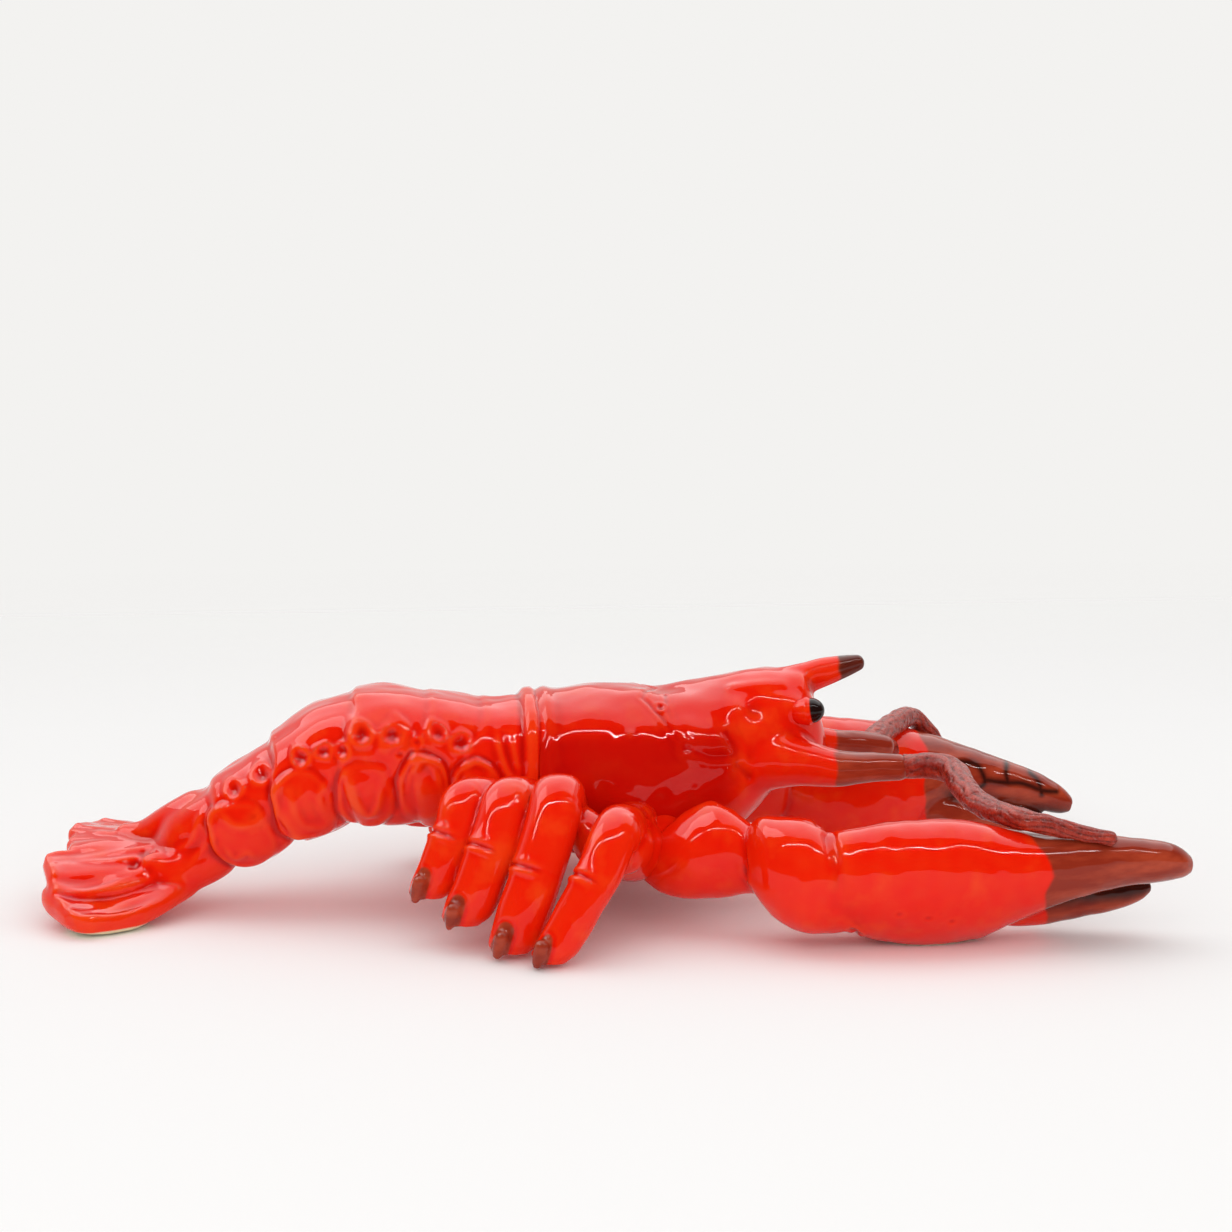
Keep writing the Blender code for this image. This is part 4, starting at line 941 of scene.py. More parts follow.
@dataclass
class Legs:
    """Four pressed walking legs on one side, luted to one another."""

    side: Side
    pitch: float = 0.565
    thick: Row = (17.8, 19.4, 20.2, 18.0)
    hip_at: Row = (0.05, 0.07, 0.10, 0.345)
    hip_rise: Row = (-0.15, -0.20, -0.30, -0.40)
    hip_inset: float = 12.0
    knee_x: Row = (-54.5, -39.5, -22.5, -1.8)
    knee_out: Row = (14.0, 22.0, 31.0, 43.0)
    knee_z: Row = (50.0, 50.7, 53.0, 44.0)
    foot_back: Row = (15.4, 18.3, 18.5, 26.5)
    foot_out: Row = (13.0, 17.0, 20.0, 20.4)
    foot_z: Row = (17.0, 9.5, 2.0, 1.5)
    joint_at: Row = (0.40, 0.41, 0.47, 0.41)
    squareness: float = 2.4

    def path(self, k: int) -> Array:
        """Corners of a leg's middle line: hip, bend, knee, shin, ankle and foot."""
        s = self.side.value
        hip = PLAN.flank(self.hip_at[k], self.side, self.hip_rise[k], self.hip_inset)
        knee = np.array((self.knee_x[k], s * (PLAN.width / 2 + self.knee_out[k]), self.knee_z[k]))
        run = np.array((-self.foot_back[k], s * self.foot_out[k], self.foot_z[k] - self.knee_z[k]))
        shin, ankle = knee + run * (0.28, 0.52, 0.28), knee + run * (0.63, 0.82, 0.62)
        return np.array([hip, hip + 0.55 * (knee - hip), knee, shin, ankle, knee + run])

    def nail(self, k: int) -> Array:
        """Root and tip of a leg's nail, at the rear corner of its outer face."""
        thick, s = self.thick[k], self.side.value
        root, tip = (-0.13 * thick, s * 0.30 * thick, 10.0), (-0.27 * thick, s * 0.13 * thick, -0.8)
        return self.path(k)[5] + np.array([root, tip])

    def leg(self, k: int) -> Form:
        """One leg: round sections that turn level down the shin and stay broad to the foot."""
        line, share = smooth_path(self.path(k), 110)
        ahead = unit(np.gradient(line, axis=0))
        way = np.array((1.0, 0.0, 0.0))
        side = unit(way - ((ahead @ way) * step(0.85, 0.50, share))[:, None] * ahead)
        half = self.thick[k] / 2
        at = (0.0, 0.2, 0.42, 0.60, 0.80, 0.90, 0.96, 1.0)
        wide = half * smooth(at, (0.92, 0.94, 0.96, 0.97, 1.00, 1.00, 0.94, 0.60), share)
        deep = half * smooth(at, (0.92, 0.94, 0.96, 0.92, 0.84, 0.74, 0.62, 0.36), share)
        up = unit(np.cross(side, ahead))
        return closed(sections(line, side, up, wide, deep, deep, self.squareness, 44))

    def forms(self) -> list[Form]:
        """The legs, their nails, and the web and the fillet of clay between them at the hips."""
        s = self.side.value
        web = [(12, s * 36, 27), (4.5, s * 54, 32.5), (1.5, s * 67, 35.5), (-3, s * 77, 33)]
        fillet = [(-16, s * 50, 43), (-11.5, s * 62, 41), (-8.5, s * 70, 31)]
        return [
            *(self.leg(k) for k in range(4)),
            *(rod(self.nail(k), (5.0, 5.6, 4.6, 2.4), 24, 24) for k in range(4)),
            rod(web, (22, 25, 22, 15), 50, 44),
            rod(fillet, (14, 15, 12), 40, 36),
        ]

    def build(self) -> bpy.types.Object:
        """Lute the legs, press their joints, and dip their nails."""
        word = self.side.word
        clay = Clay("walking_legs_" + word, self.forms(), self.pitch)
        clay.soften(3)
        clay.fill(36, 0.012)
        clay.soften(1)
        p = clay.points
        lines = [smooth_path(self.path(k), 40)[0] for k in range(4)]
        found = [nearest(p, line) for line in lines]
        which = np.argmin(np.stack([f[0] for f in found]), axis=0)
        depth = 0.20 * waves(p, 18.0, 3)
        nails = np.zeros(len(p))
        for k, (_, along, away) in enumerate(found):
            mine = which == k
            knee, foot = self.path(k)[[2, 5]]
            shin = np.linalg.norm(foot - knee)
            reach = along - steps(lines[k]).sum() + shin - self.joint_at[k] * shin
            mark = 0.8 * bell(reach - 1.9, 1.4) - 0.9 * bell(reach, 0.8) + 0.4 * bell(reach + 1.6, 1.3)
            mark = mark * (0.06 + 0.94 * step(3.0, -5.0, away[:, 0]))
            second = 0.5 * bell(reach + 0.40 * shin, 2.6) * step(0, 4, away[:, 0])
            far = nearest(p, self.nail(k))[0]
            depth += np.where(mine, mark + second - 0.25 * bell(far - 4.3, 0.8), 0)
            nails = np.maximum(nails, np.where(mine, step(4.0, 3.2, far) * step(0.5, -0.5, -reach), 0))
        clay.press(depth)
        clay.soften(1)
        piece = clay.piece({"dip": nails, "bare": step(0.75, 0.35, clay.points[:, 2])})
        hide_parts(*("walking_leg_%s_%d" % (word, k + 1) for k in range(4)))
        return piece


@dataclass
class Claw:
    """One claw arm: upper arm, wrist, cast palm with its fixed finger, and the loose finger.

    The boundary pairs heights with the length at which the brown dip starts there. The marks
    are black lines of painted shade in X and Z, in the crevices between the teeth on the face
    towards the middle.
    """

    side: Side
    roll: float
    dip: float
    rest: float
    spread: float
    boundary: Row
    teeth: float = 0.05
    teeth_count: int = 8
    pitch: float = 0.66
    length: float = 133.0
    palm_width: float = 54.7
    palm_thick: float = 39.5
    finger_length: float = 66.0
    finger_back: float = 12.0
    finger_wide: float = 11.0
    finger_deep: float = 10.0
    squareness: float = 2.1
    toe: float = 0.5
    wrist_at: Point = (65.0, 76.0, 25.5)
    arm_lift: float = 0.7
    ahead: float = 11.0
    outward: float = 6.4
    marks: tuple[tuple[Spot, ...], ...] = ()
    at: Row = (0.0, 0.06, 0.143, 0.278, 0.406, 0.504, 0.579, 0.639, 0.79, 0.86, 0.92, 0.97, 1.0)
    broad: Row = (0.70, 0.81, 0.953, 1.0, 0.925, 0.72, 0.58, 0.50, 0.385, 0.335, 0.285, 0.215, 0.12)
    deep: Row = (0.77, 0.853, 0.951, 1.0, 0.924, 0.77, 0.655, 0.58, 0.455, 0.405, 0.35, 0.27, 0.15)
    shift: Row = (0.059, 0.039, 0.008, 0.0, -0.005, 0.048, 0.100, 0.149, 0.205, 0.212, 0.205, 0.185, 0.165)
    forward: Array = field(init=False)
    wide_way: Array = field(init=False)
    thick_way: Array = field(init=False)
    start: Array = field(init=False)
    lift: float = field(init=False)

    def __post_init__(self) -> None:
        """Work out where the claw lies: its line forward, its broad way and its thick way."""
        s = self.side.value
        toe, down, turn = (math.radians(a) for a in (self.toe, self.dip, self.roll))
        self.forward = np.array((math.cos(toe) * math.cos(down), -s * math.sin(toe), -math.sin(down)))
        out = unit(np.cross(UPWARD, self.forward) * s)
        lift = np.cross(self.forward, out) * s
        lift = lift if lift[2] > 0 else -lift
        self.wide_way = out * math.cos(turn) + lift * math.sin(turn)
        self.thick_way = lift * math.cos(turn) - out * math.sin(turn)
        shift, half, deep = self.sizes(self.rest)
        low = math.hypot(half * math.sin(turn), deep * math.cos(turn)) - shift * math.sin(turn) - 0.8
        self.lift = math.sin(down) * self.rest * self.length
        x, y, _ = self.wrist_at
        self.start = np.array((x + self.ahead, s * (y + self.outward), low + self.lift))

    def sizes(self, along: Array) -> tuple[Array, Array, Array]:
        """Shift outwards, half-width and half-thickness of the palm at a share of its length."""
        return (
            self.palm_width * smooth(self.at, self.shift, along),
            self.palm_width / 2 * smooth(self.at, self.broad, along),
            self.palm_thick / 2 * smooth(self.at, self.deep, along),
        )

    def point(self, along: Array, across: Array = 0.0, over: Array = 0.0) -> Array:
        """A point at a share of the claw's length, across it and over it."""
        along, across, over = (np.asarray(v, float)[..., None] for v in (along, across, over))
        place = self.start + self.forward * along * self.length
        return place + self.wide_way * across + self.thick_way * over

    def bar(self, centre: Array, wide: Array, back: Array, deep: Array, sides: int) -> Form:
        """A closed form of sections that stand across the claw."""
        ways = self.wide_way, self.thick_way
        return closed(sections(centre, *ways, wide, deep, deep, self.squareness, sides, back))

    def palm(self) -> Form:
        """The palm with its fixed finger: superellipse sections that shift outwards."""
        share = 1 - (1 - np.linspace(0, 1, 150)) ** 1.15
        shift, wide, deep = self.sizes(share)
        return self.bar(self.point(share, shift), wide, wide, deep, 96)

    def finger(self) -> Form:
        """The loose finger, with low teeth on the edge that faces the fixed one."""
        share = 1 - (1 - np.linspace(0, 1, 110)) ** 1.2
        at = (0.0, 0.20, 0.42, 0.66, 0.86, 0.95, 1.0)
        swell = smooth(at, (0.92, 1.02, 0.92, 0.74, 0.52, 0.36, 0.16), share)
        root = 1.0 - (self.finger_length + self.finger_back) / self.length
        along = root + self.finger_length / self.length * share
        shift = self.palm_width * smooth(at, (-0.12, -0.180, -0.200, -0.175, -0.135, -0.115, -0.10), share)
        teeth = self.teeth * np.cos(2 * math.pi * self.teeth_count * share)
        teeth = teeth * step(0.2, 0.4, share) * step(0.95, 0.8, share)
        wide, deep = self.finger_wide * swell, self.finger_deep * swell
        return self.bar(self.point(along, shift * self.spread), wide * (1 + teeth), wide, deep, 56)

    def resting(self, along: float, around: float, lift: float) -> Array:
        """Middle of a coil that lies on the claw, around being degrees from its outer edge."""
        shift, half, deep = self.sizes(along)
        out, over = math.cos(math.radians(around)), math.sin(math.radians(around))
        away = unit(self.wide_way * (out / half) + self.thick_way * (over / deep))
        return self.point(along, shift + half * out, deep * over) + away * lift

    def upper_arm(self) -> Form:
        """The upper arm: round sections across X whose back peaks near the wrist."""
        share = np.linspace(0, 1, 80)
        at = (0.0, 0.10, 0.24, 0.42, 0.60, 0.74, 0.86, 1.0)
        x = smooth(at, (8.0, 12.5, 19.0, 27.5, 36.0, 42.0, 48.0, 55.0), share)
        y = smooth(at, (43, 45.5, 49, 52, 54, 57.5, 62.5, 68.0), share)
        top = smooth(at, (24.0, 30.0, 37.0, 45.5, 49.3, 47.0, 42.3, 37.5), share)
        bottom = smooth(at, (21.5, 17.0, 13.4, 12.3, 12.9, 14.0, 16.0, 17.0), share)
        deep = smooth(at, (3, 8, 12, 15.5, 16.5, 16, 13.5, 10.0), share)
        middle = (top + bottom) / 2 + self.arm_lift * self.lift * share
        high = (top - bottom) / 2
        return upright(np.stack([x, self.side.value * y, middle], -1), deep, high, high, 2.0, 72)

    def wrist(self, middle: Array) -> Form:
        """The wrist: a blunt block of squarish sections across X, flat on top."""
        share = np.linspace(0, 1, 80)
        at = (0.0, 0.045, 0.12, 0.26, 0.415, 0.53, 0.63, 0.80, 1.0)
        top = smooth(at, (11.0, 18.6, 21.7, 22.1, 21.9, 20.6, 12.6, 7.5, 3.0), share)
        bottom = smooth(at, (2.0, 5.5, 10.5, 16.0, 19.0, 20.2, 20.3, 19.4, 11.0), share)
        deep = smooth(at, (6.0, 11.0, 15.5, 19.2, 20.6, 20.6, 20.0, 18.0, 10.0), share)
        out = self.side.value * 3.6 * step(0.0, 0.4, share)
        centre = np.stack([middle[0] - 19.0 + 45.0 * share, middle[1] + out, 0 * share + middle[2]], -1)
        return upright(centre, deep, top, bottom, 2.3, 72)

    def forms(self) -> list[Form]:
        """The arm, its root in the body, the wrist with its knob and heel, palm and finger."""
        s = self.side.value
        x, y, z = self.wrist_at
        wrist = np.array((x, s * y, z + self.arm_lift * self.lift))
        shoulder = PLAN.flank(0.34, self.side, -0.35, 16.0)
        heel = [wrist + (0, s * 5, 4.0), wrist + (9, s * 8, 3.0), self.point(0.12), self.point(0.28)]
        return [
            rod([shoulder, (22.0, s * 36.0, 27.0), (31.0, s * 51.0, 28.0)], (22, 23, 25, 24), 40, 48),
            self.upper_arm(),
            self.wrist(wrist),
            lump(wrist + (3.0, s * 8.0, 14.4), (6.4, 8.0, 6.2)),
            rod(heel, (26, 30, 33, 32, 28), 40, 48),
            self.palm(),
            self.finger(),
        ]

    def relief(self, points: Array) -> Array:
        """Depth of the wrinkles at the elbow and wrist, the palm's pits and its long swell."""
        relief = Relief(points)
        relief.points[:, 2] -= self.arm_lift * self.lift
        each(
            relief.crease,
            ([(69.5, -95.5, 27.5), (73, -94, 22.5), (77.5, -92.5, 16.2), (81.5, -90.2, 10.5),
              (84.9, -87.5, 6.3), (85, -77, 3)], 1.1, 0.9),
            ([(46, -54, 46), (46.3, -62, 40), (46.2, -70, 33), (47, -76, 26)], 1.3, 0.9),
            ([(39.5, -49, 47), (45, -55, 44)], 1.2, 0.5),
        )
        each(
            relief.ridge,
            ([(70.8, -84, 45), (70.4, -89, 40.5), (69, -92.7, 35)], 1.2, -1.1),
            ([(76, -92, 39), (90, -93, 42), (108, -92, 43), (128, -91, 41)], 4.5, 0.5),
            ([(36, -50, 46), (30, -58, 38), (24, -62, 28)], 3.0, 0.5),
        )
        pits = (
            (92.0, -99.5, 22.0), (97.5, -100.6, 16.4), (103.0, -101.0, 19.5), (108.0, -100.5, 14.0),
            (112.2, -100.2, 17.0), (117.0, -99.0, 12.5), (121.0, -99.5, 19.0),
        )
        each(relief.dimple, ((79.0, -93.5, 19.0), 2.2, 0.7, 0.4), *((at, 2.0, 0.30, 0.08) for at in pits))
        return relief.depth

    def build(self) -> bpy.types.Object:
        """Lute the claw arm, press its wrinkles and pits, and dip its fingers."""
        word = self.side.word
        clay = Clay("claw_arm_" + word, self.forms(), self.pitch)
        clay.soften(3)
        x, y, z = clay.points.T
        face = step(67, 75, x) * step(96, 86, x) * step(84, 92, np.abs(y)) * step(42, 34, z)
        clay.ease(face, 60)
        clay.fill(26, 0.012)
        clay.soften(2)
        p = clay.points
        clay.press(self.relief(p) + 0.34 * waves(p, 30.0, 14) + 0.08 * waves(p, 10.0, 15))
        clay.soften(1)
        p = clay.points
        along = (p - self.start) @ self.forward
        edge = smooth(self.boundary[0::2], self.boundary[1::2], p[:, 2]) + 0.5 * waves(p, 11.0, 21)
        dip = step(-0.8, 0.8, along - edge)
        # Painted shade: black in the gap between the fixed and the loose finger, and black lines from the
        # marks in the crevices between the teeth; both go into the black paint and shade mask.
        across = (p - self.start) @ self.wide_way
        black = 0.9 * bell(across + 0.045 * self.palm_width, 3.2) * step(0.52, 0.60, along / self.length)
        inner = step(88, 82, np.abs(p[:, 1]))
        for line in self.marks:
            drawn, _ = smooth_path(line, 14)
            black = np.maximum(black, 0.92 * inner * bell(nearest(p[:, [0, 2]], drawn)[0], 1.4))
        piece = clay.piece({"dip": dip, "soot": black * dip, "bare": step(0.55, 0.20, p[:, 2])})
        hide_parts(*(n + word for n in ("arm_", "wrist_", "claw_palm_", "claw_finger_")))
        return piece


@dataclass
class Coil:
    """A rolled coil of clay, rough and striated, that runs from a scape to lie on a claw.

    The points away are offsets from its start; those on the claw are a share of the claw's
    length, degrees from its outer edge, and a lift as a share of the coil's radius.
    """

    side: Side
    start: Point
    away: tuple[Point, ...]
    on_claw: tuple[Point, ...]
    rows: int = 420
    sides: int = 60
    rest_diameter: float = 9.8
    diameters: Row = (9.4, 10.2, 9.8, 9.2, 8.2, 6.6, 5.0)
    round_end: float = 2.6
    tuck: float = 2.5
    squareness: float = 2.15

    def build(self, claw: Claw) -> bpy.types.Object:
        """Carry a wrinkled circle along the coil's path.

        The radius at share u and angle t is the tapering radius, less shallow striations that
        run along it, the absolute sine of a few turns of t plus a slow twist, and less pits
        where seeded waves run high.

        Args:
            claw: the claw that it lies on.

        Returns:
            The piece.
        """
        s = self.side.value
        start = np.array(self.start)
        path = [start + (-self.tuck, 0, 0)]
        path += [start + (dx, s * dy, dz) for dx, dy, dz in self.away]
        path += [claw.resting(a, r, self.rest_diameter / 2 * k) for a, r, k in self.on_claw]
        line, share = smooth_path(path, self.rows)
        radius = taper(self.diameters, share) * dome((1 - share) * steps(line).sum() / self.round_end)
        grid = sections(line, *frames(line), radius, radius, radius, self.squareness, self.sides)
        turn = around(self.sides)
        run = share[:, None]
        ripple = waves(line, 16.0, 31)[:, None]
        lines = (1 - np.abs(np.sin(4.5 * turn + 1.4 * ripple + 2.2 * run))) ** 2
        fine = (1 - np.abs(np.sin(9.5 * turn - 1.9 * ripple + 5.0 * run))) ** 2
        pits = step(0.45, 1.0, waves(grid, 4.2, 41)) * 0.40
        knots = 0.22 * waves(grid, 7.5, 43)
        wood = 0.45 + 0.75 * step(0.5, 0.8, run)
        depth = wood * (0.36 * lines + 0.16 * fine) + pits * (1.3 - wood) - knots
        form = closed(grid - depth[..., None] * unit(grid - line[:, None]))
        lined = np.append(np.clip(0.60 * lines + 0.22 * fine + 0.7 * pits, 0, 1), [0, 0])
        masks = {"pool": lined, "run": np.append(np.repeat(share, self.sides), [0, 1])}
        piece = put("antenna_coil_" + self.side.word, form, masks)
        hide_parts("antenna_" + self.side.word)
        return piece


@dataclass
class Eye:
    """A round eye on a short stalk, with a black cap where it looks."""

    side: Side
    diameter: float = 10.7
    stretch: float = 1.28
    centre: Point = (78.0, 18.5, 76.2)
    gaze: Point = (0.92, 0.30, 0.16)
    rows: int = 94
    sides: int = 96

    def build(self) -> bpy.types.Object:
        """A bulb drawn out along its gaze: a bell added for the lid and a small one taken off
        where the cap begins."""
        mirror = (1, self.side.value, 1)
        gaze = unit(np.array(self.gaze) * mirror)
        spin = np.array(Vector((0, 0, 1)).rotation_difference(Vector(gaze)).to_matrix())
        grid, high = ball(self.rows, self.sides, (1.0, 1.0, self.stretch))
        radius = self.diameter / 2 * (1 + 0.05 * bell(high - 0.05, 0.16) - 0.045 * bell(high - 0.32, 0.12))
        form = closed((grid * radius[:, None, None]) @ spin.T + np.array(self.centre) * mirror)
        cap = np.append(np.repeat(step(0.26, 0.36, high), self.sides), [0, 1])
        piece = put("eye_ball_" + self.side.word, form, {"dip": cap, "soot": cap})
        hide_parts("eye_" + self.side.word)
        return piece


# Glazes

Socket = bpy.types.NodeSocket


class Shader:
    """A node tree of a material or world, with short ways of adding nodes."""

    def __init__(self, owner: bpy.types.ID) -> None:
        """Empty the owner's node tree."""
        owner.use_nodes = True
        self.tree = owner.node_tree
        self.tree.nodes.clear()

    def add(
        self, kind: str, links: dict | None = None, values: dict | None = None, **settings: str | bool,
    ) -> bpy.types.Node:
        """Add a node.

        Args:
            kind: the node's type, less its first word.
            links: output sockets to plug in, by input name or number.
            values: values to set, by input name or number.
            settings: properties of the node itself.

        Returns:
            The node.
        """
        node = self.tree.nodes.new("ShaderNode" + kind)
        for word, value in settings.items():
            setattr(node, word, value)
        for word, value in (values or {}).items():
            node.inputs[word].default_value = value
        for word, socket in (links or {}).items():
            self.tree.links.new(socket, node.inputs[word])
        return node

    def place(self) -> Socket:
        """Place in the object's own frame, in metres."""
        return self.add("TexCoord").outputs["Object"]

    def mask(self, word: str) -> Socket:
        """A mask that the piece carries."""
        return self.add("Attribute", attribute_name=word).outputs["Fac"]

    def noise(self, where: Socket, size_mm: float, detail: float, roughness: float) -> Socket:
        """Noise of a size in real millimetres."""
        values = {"Scale": 1 / (size_mm * MM), "Detail": detail, "Roughness": roughness}
        return self.add("TexNoise", {"Vector": where}, values).outputs["Fac"]

    def ramp(self, value: Socket, low: float, high: float, start: float = 0.0, end: float = 1.0) -> Socket:
        """A value carried from low and high to start and end, and held there beyond them."""
        values = {"From Min": low, "From Max": high, "To Min": start, "To Max": end}
        return self.add("MapRange", {"Value": value}, values).outputs["Result"]

    def blend(self, share: Socket, first: Socket | str, second: Socket | str) -> Socket:
        """Mix two colours, each a socket or an sRGB colour in hex, by a share."""
        inputs = {6: first, 7: second}
        values = {k: linear(v) for k, v in inputs.items() if isinstance(v, str)}
        links = {k: v for k, v in inputs.items() if not isinstance(v, str)}
        return self.add("Mix", {0: share, **links}, values, data_type="RGBA").outputs[2]

    def coat(self, colour: Socket, rough: Socket, height: Socket, bump: Spot, ior: float) -> None:
        """Finish a material with a glossy coat.

        Args:
            colour: its colour.
            rough: its roughness.
            height: pattern of its unevenness.
            bump: strength of the unevenness, and its depth in metres.
            ior: index of refraction.
        """
        values = {"Strength": bump[0], "Distance": bump[1]}
        normal = self.add("Bump", {"Height": height}, values).outputs["Normal"]
        links = {"Base Color": colour, "Roughness": rough, "Normal": normal}
        shader = self.add("BsdfPrincipled", links, {"IOR": ior, "Metallic": 0.0})
        self.add("OutputMaterial", {"Surface": shader.outputs["BSDF"]})


@dataclass(frozen=True)
class RedGlaze:
    """Lead-free gloss glaze, coloured with an encapsulated red stain, over white earthenware.

    It is brushed on and runs thin on ridges, where it turns orange, and lies thick in creases,
    where it turns crimson. Tips are dipped once more in a brown glaze. The ground feet are bare
    cream clay. Black is paint on the rostrum's tip and the eyes' caps, and painted shade in the
    gap between each claw's fingers and in the crevices between their teeth. The coat is glassy
    and a little uneven, so reflections have wavy edges.
    """

    name: str = "red_gloss_glaze_on_earthenware"
    red: str = "#EA1A04"
    thin: str = "#F04A14"
    thick: str = "#BE0A03"
    brown: str = "#8E2C1A"
    brown_thin: str = "#AE4228"
    # Black paint, and painted shade in the claws' finger gaps and tooth crevices.
    soot: str = "#1C0C0A"
    clay: str = "#E6D9B4"
    roughness: float = 0.032
    clay_roughness: float = 0.75
    ior: float = 1.33
    wave_mm: float = 9.0
    streak_mm: float = 14.0
    mottle_mm: float = 6.0
    bump: Spot = (0.35, 0.0006)

    def build(self) -> bpy.types.Material:
        """Make the material from the piece's own masks and from patterns in real millimetres."""
        made = bpy.data.materials.new(self.name)
        s = Shader(made)
        where = s.place()
        pool, ridge, dip, soot, bare = (s.mask(word) for word in ("pool", "ridge", "dip", "soot", "bare"))
        patch = s.ramp(s.noise(where, self.streak_mm, 3.0, 0.5), 0.50, 0.72, end=0.55)
        light = s.add("Math", {0: ridge, 1: patch}, operation="MAXIMUM", use_clamp=True).outputs[0]
        red = s.blend(pool, s.blend(light, self.red, self.thin), self.thick)
        along = s.add("Mapping", {"Vector": where}, {"Scale": (0.3, 1.0, 1.0)}).outputs["Vector"]
        browned = s.ramp(s.noise(along, self.mottle_mm, 3.0, 0.55), 0.42, 0.68)
        dipped = s.blend(dip, red, s.blend(browned, self.brown, self.brown_thin))
        # Black paint and painted shade go over the dipped colour, and bare clay over all.
        colour = s.blend(bare, s.blend(soot, dipped, self.soot), self.clay)
        rough = s.ramp(bare, 0.0, 1.0, self.roughness, self.clay_roughness)
        s.coat(colour, rough, s.noise(where, self.wave_mm, 1.0, 0.4), self.bump, self.ior)
        return made


@dataclass(frozen=True)
class RoughCoil:
    """Iron-brown wash over rolled clay, half covered by red glaze and left coarse by firing.

    It shows dull maroon with darker striations, chalky lilac specks where the wash is dry, and
    small wet glints.
    """

    name: str = "iron_brown_wash_on_rolled_clay"
    maroon: str = "#94261A"
    ember: str = "#B83A24"
    dark: str = "#4A120C"
    chalk: str = "#C09A94"
    roughness: float = 0.16
    dry_roughness: float = 0.62
    ior: float = 1.38
    mottle_mm: float = 5.0
    grain_mm: float = 1.3
    bump: Spot = (0.6, 0.0005)

    def build(self) -> bpy.types.Material:
        """Make the material: striations from the mesh's own mask, specks in real millimetres."""
        made = bpy.data.materials.new(self.name)
        s = Shader(made)
        where = s.place()
        warm = s.ramp(s.noise(where, self.mottle_mm, 4.0, 0.65), 0.40, 0.66)
        lined = s.blend(s.mask("pool"), s.blend(warm, self.maroon, self.ember), self.dark)
        grain = s.noise(where, self.grain_mm, 3.0, 0.7)
        colour = s.blend(s.ramp(grain, 0.60, 0.78, end=0.40), lined, self.chalk)
        rough = s.ramp(grain, 0.4, 0.7, self.roughness, self.dry_roughness)
        s.coat(colour, rough, grain, self.bump, self.ior)
        return made


# The studio


@dataclass(frozen=True)
class Lamp:
    """A rectangular area lamp; without an aim it faces straight down.

    A mirrored lamp is seen in mirror reflections only, any other in everything but them. Its
    power is its radiance times its area times pi; lengths are metres.
    """

    name: str
    place: Point
    size: tuple[float, float]
    radiance: float
    mirrored: bool = False
    aim: Point | None = None

    def hang(self) -> None:
        """Put the lamp into the scene."""
        data = bpy.data.lights.new(self.name, "AREA")
        data.shape = "RECTANGLE"
        data.size, data.size_y = self.size
        data.energy = self.size[0] * self.size[1] * math.pi * self.radiance
        made = show(self.name, data)
        made.visible_glossy = self.mirrored
        made.visible_diffuse = not self.mirrored
        made.visible_camera = False
        place = Vector(self.place)
        way = Vector(self.aim) - place if self.aim else Vector((0, 0, -1))
        made.matrix_world = Matrix.Translation(place) @ way.to_track_quat("-Z", "Y").to_matrix().to_4x4()


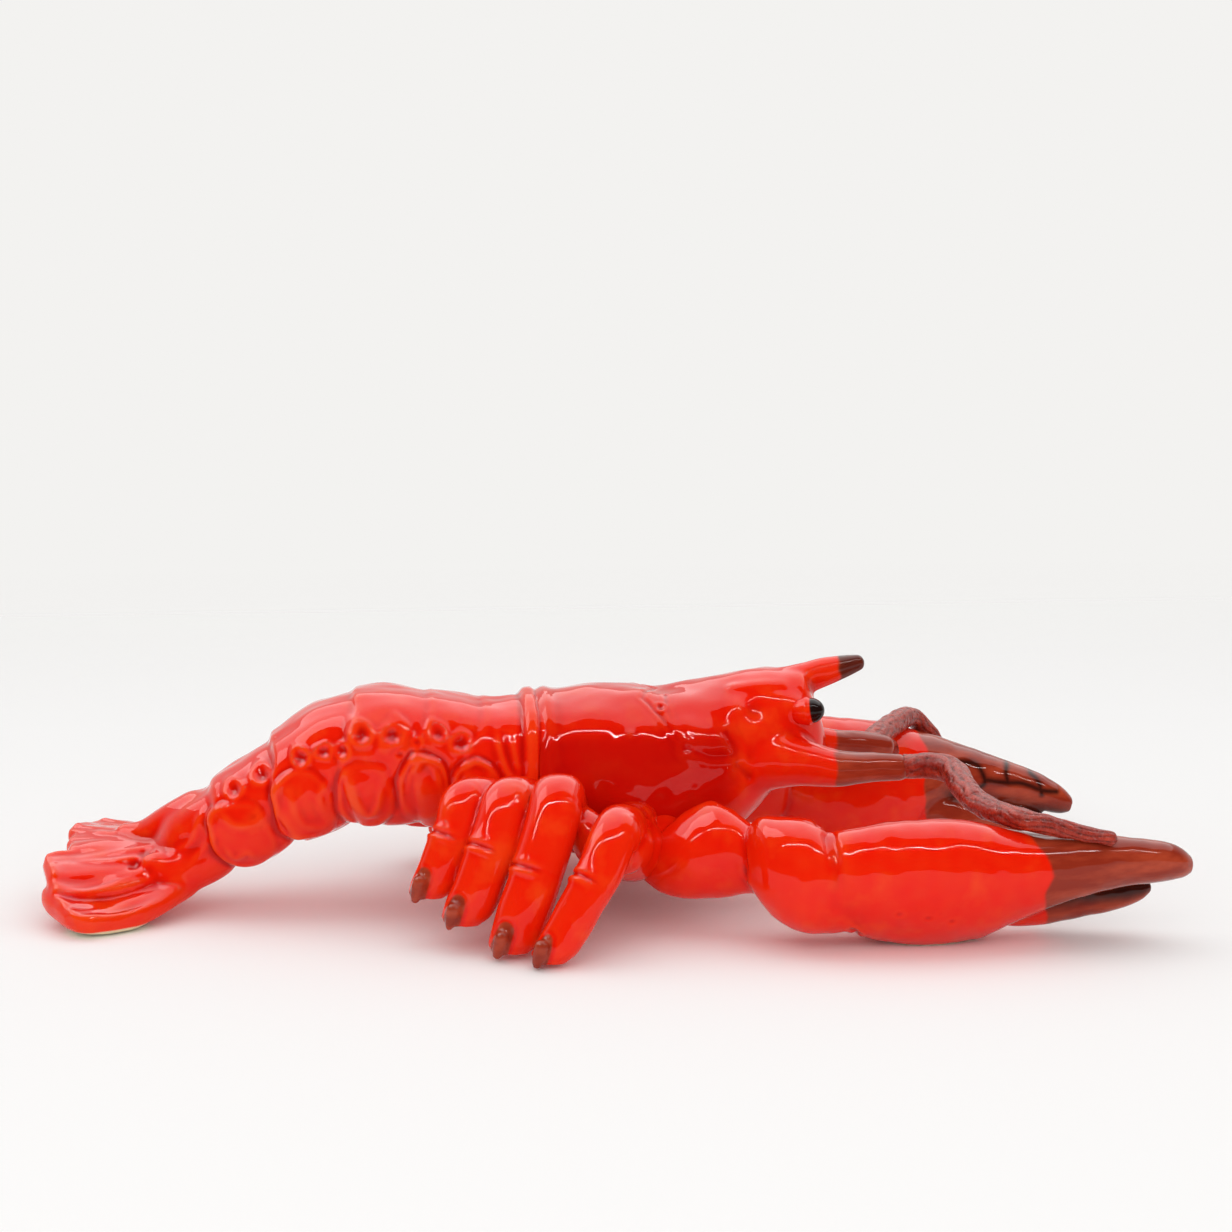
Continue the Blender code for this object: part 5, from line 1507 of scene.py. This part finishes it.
@dataclass
class Studio:
    """Pale floor, soft overhead light with a thin bright strip beside it, and the camera."""

    focal_px: float = 2540.0
    frame_px: float = 1232.0
    sensor_mm: float = 36.0
    pitch: float = 8.0
    yaw: float = 6.0
    distance: float = 1.0
    rise: float = 0.1106
    aside: float = 0.006
    backdrop: str = "#F3F2F0"
    floor: str = "#FDFCFB"
    room_light: float = 0.67
    lamps: tuple[Lamp, ...] = (
        Lamp("overhead_softbox", (0.0, 0.25, 1.25), (2.6, 1.15), 0.56),
        Lamp("front_fill", (-0.2, -1.7, 0.9), (2.6, 1.3), 1.21, aim=(0.0, 0.0, 0.05)),
        Lamp("softbox_in_the_glaze", (0.0, 0.90, 1.24), (3.4, 2.30), 1.9, True),
        Lamp("bright_end_in_the_glaze", (-1.05, 0.12, 1.23), (1.3, 0.75), 3.5, True),
        Lamp("strip_in_the_glaze", (0.0, -0.62, 1.0), (2.2, 0.020), 62.0, True, (0.0, 0.0, 0.05)),
    )

    def camera(self) -> None:
        """Set the camera by its pitch below the horizon and its yaw towards the head."""
        down, turn = math.radians(self.pitch), math.radians(self.yaw)
        right = Vector((math.cos(turn), -math.sin(turn), 0))
        ahead = Vector((math.sin(turn) * math.cos(down), math.cos(turn) * math.cos(down), -math.sin(down)))
        up = right.cross(ahead)
        data = bpy.data.cameras.new("camera")
        data.sensor_width = self.sensor_mm
        data.lens = self.sensor_mm * self.focal_px / self.frame_px
        data.clip_start = 0.01
        made = show("camera", data)
        place = Matrix((right, up, -ahead)).transposed().to_4x4()
        place.translation = -self.distance * ahead + self.rise * up + Vector((self.aside, 0, 0))
        made.matrix_world = place
        bpy.context.scene.camera = made

    def ground(self) -> None:
        """A pale matt floor whose far edge fades into the backdrop."""
        data = bpy.data.meshes.new("floor")
        data.from_pydata([(-3, -3, 0), (3, -3, 0), (3, 1.4, 0), (-3, 1.4, 0)], [], [(0, 1, 2, 3)])
        made = show("floor", data)
        material = bpy.data.materials.new("matt_white_paper_sweep")
        s = Shader(material)
        y = s.add("SeparateXYZ", {0: s.place()}).outputs["Y"]
        span = {"From Min": 0.30, "From Max": 1.10}
        edge = s.add("MapRange", {"Value": y}, span, interpolation_type="SMOOTHSTEP").outputs["Result"]
        paper = s.add("BsdfDiffuse", values={"Color": linear(self.floor)}).outputs[0]
        both = s.add("MixShader", {0: edge, 1: paper, 2: s.add("BsdfTransparent").outputs[0]})
        s.add("OutputMaterial", {"Surface": both.outputs[0]})
        data.materials.append(material)

    def air(self) -> None:
        """The room: a pale backdrop behind the object, where it is seen, mirrored or looked
        through, fading to a dim room behind the camera, and an even soft light for the rest."""
        world = bpy.data.worlds.new("room")
        s = Shader(world)
        diffuse = s.add("LightPath").outputs["Is Diffuse Ray"]
        y = s.add("SeparateXYZ", {0: s.add("TexCoord").outputs["Generated"]}).outputs["Y"]
        span = {"From Min": -0.10, "From Max": 0.45, "To Min": 0.04, "To Max": 1.0}
        rear = s.add("MapRange", {"Value": y}, span, interpolation_type="SMOOTHSTEP").outputs["Result"]
        seen = s.add("Background", {"Strength": rear}, {"Color": linear(self.backdrop)}).outputs[0]
        room = s.add("Background", values={"Color": (1, 1, 1, 1), "Strength": self.room_light}).outputs[0]
        mix = s.add("MixShader", {0: diffuse, 1: seen, 2: room}).outputs[0]
        s.add("OutputWorld", {"Surface": mix})
        bpy.context.scene.world = world

    def build(self) -> None:
        """Set up the camera, floor, room and lamps."""
        self.camera()
        self.ground()
        self.air()
        for lamp in self.lamps:
            lamp.hang()
        bpy.context.scene.view_settings.view_transform = "Standard"


RIGHT_CLAW = Claw(
    Side.RIGHT, 48.0, 0.8, 0.28, 1.0,
    (6, 82, 14, 78.5, 19, 76, 22.5, 75, 26, 76.5, 29, 78, 32.5, 76.5, 36, 74, 41, 71.5, 46, 69.5),
)
LEFT_CLAW = Claw(
    Side.LEFT, 66.0, 9.0, 0.42, 0.80, (8, 68, 20, 66, 30, 64, 38, 66, 46, 62, 55, 60), 0.12, ahead=15.6,
    broad=(0.70, 0.81, 0.953, 1.01, 0.985, 0.74, 0.56, 0.465, 0.350, 0.310, 0.265, 0.200, 0.11),
    shift=(0.059, 0.039, 0.008, 0.0, 0.010, 0.105, 0.160, 0.178, 0.160, 0.138, 0.108, 0.075, 0.055),
    marks=(
        ((162.0, 36.0), (169.0, 34.5), (171.5, 31.0), (172.5, 26.5), (168.5, 24.0)),
        ((172.5, 28.0), (178.0, 27.0), (183.0, 26.2), (190.0, 25.6), (198.0, 22.5), (205.0, 21.5)),
        ((184.0, 34.0), (182.6, 30.5), (183.1, 26.1)),
        ((194.0, 29.5), (197.0, 26.0), (198.1, 20.6)),
    ),
)
RIGHT_COIL = Coil(
    Side.RIGHT, (117.5, -24.2, 55.0),
    ((11.0, 2.0, 0.0), (15.0, 12.0, -1.2), (14.5, 30.0, -3.6), (18.0, 47.0, -6.5)),
    ((0.52, 34.0, 1.0), (0.62, 20.0, 0.86), (0.71, 7.0, 0.70), (0.76, 2.0, 0.56)),
)
LEFT_COIL = Coil(
    Side.LEFT, (122.0, 27.5, 51.6),
    ((-1.5, 9.0, -2.6), (-4.5, 18.0, -1.2), (0.5, 28.5, 0.6)),
    ((0.43, 10.0, 0.84), (0.51, -14.0, 0.86), (0.58, -40.0, 0.88), (0.66, -56.0, 0.78), (0.74, -56.0, 0.64)),
)


def main() -> None:
    """Build every piece in order, glaze it, and set the studio up."""
    logging.basicConfig(level=logging.INFO, format="%(name)s %(message)s")
    red = RedGlaze().build()
    rough = RoughCoil().build()
    pieces = [HeadAndBack().build(), TailAndFan().build()]
    pieces += [Legs(side).build() for side in Side]
    pieces += [claw.build() for claw in (RIGHT_CLAW, LEFT_CLAW)]
    pieces += [Eye(side).build() for side in Side]
    rolled = [RIGHT_COIL.build(RIGHT_CLAW), LEFT_COIL.build(LEFT_CLAW)]
    for piece in pieces:
        piece.data.materials.append(red)
    for piece in rolled:
        piece.data.materials.append(rough)
    for piece in pieces + rolled:
        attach(piece, "root")
        LOG.info("%s rides on the root, %d faces", piece.name, len(piece.data.polygons))
    Studio().build()


if __name__ == "__main__":
    main()
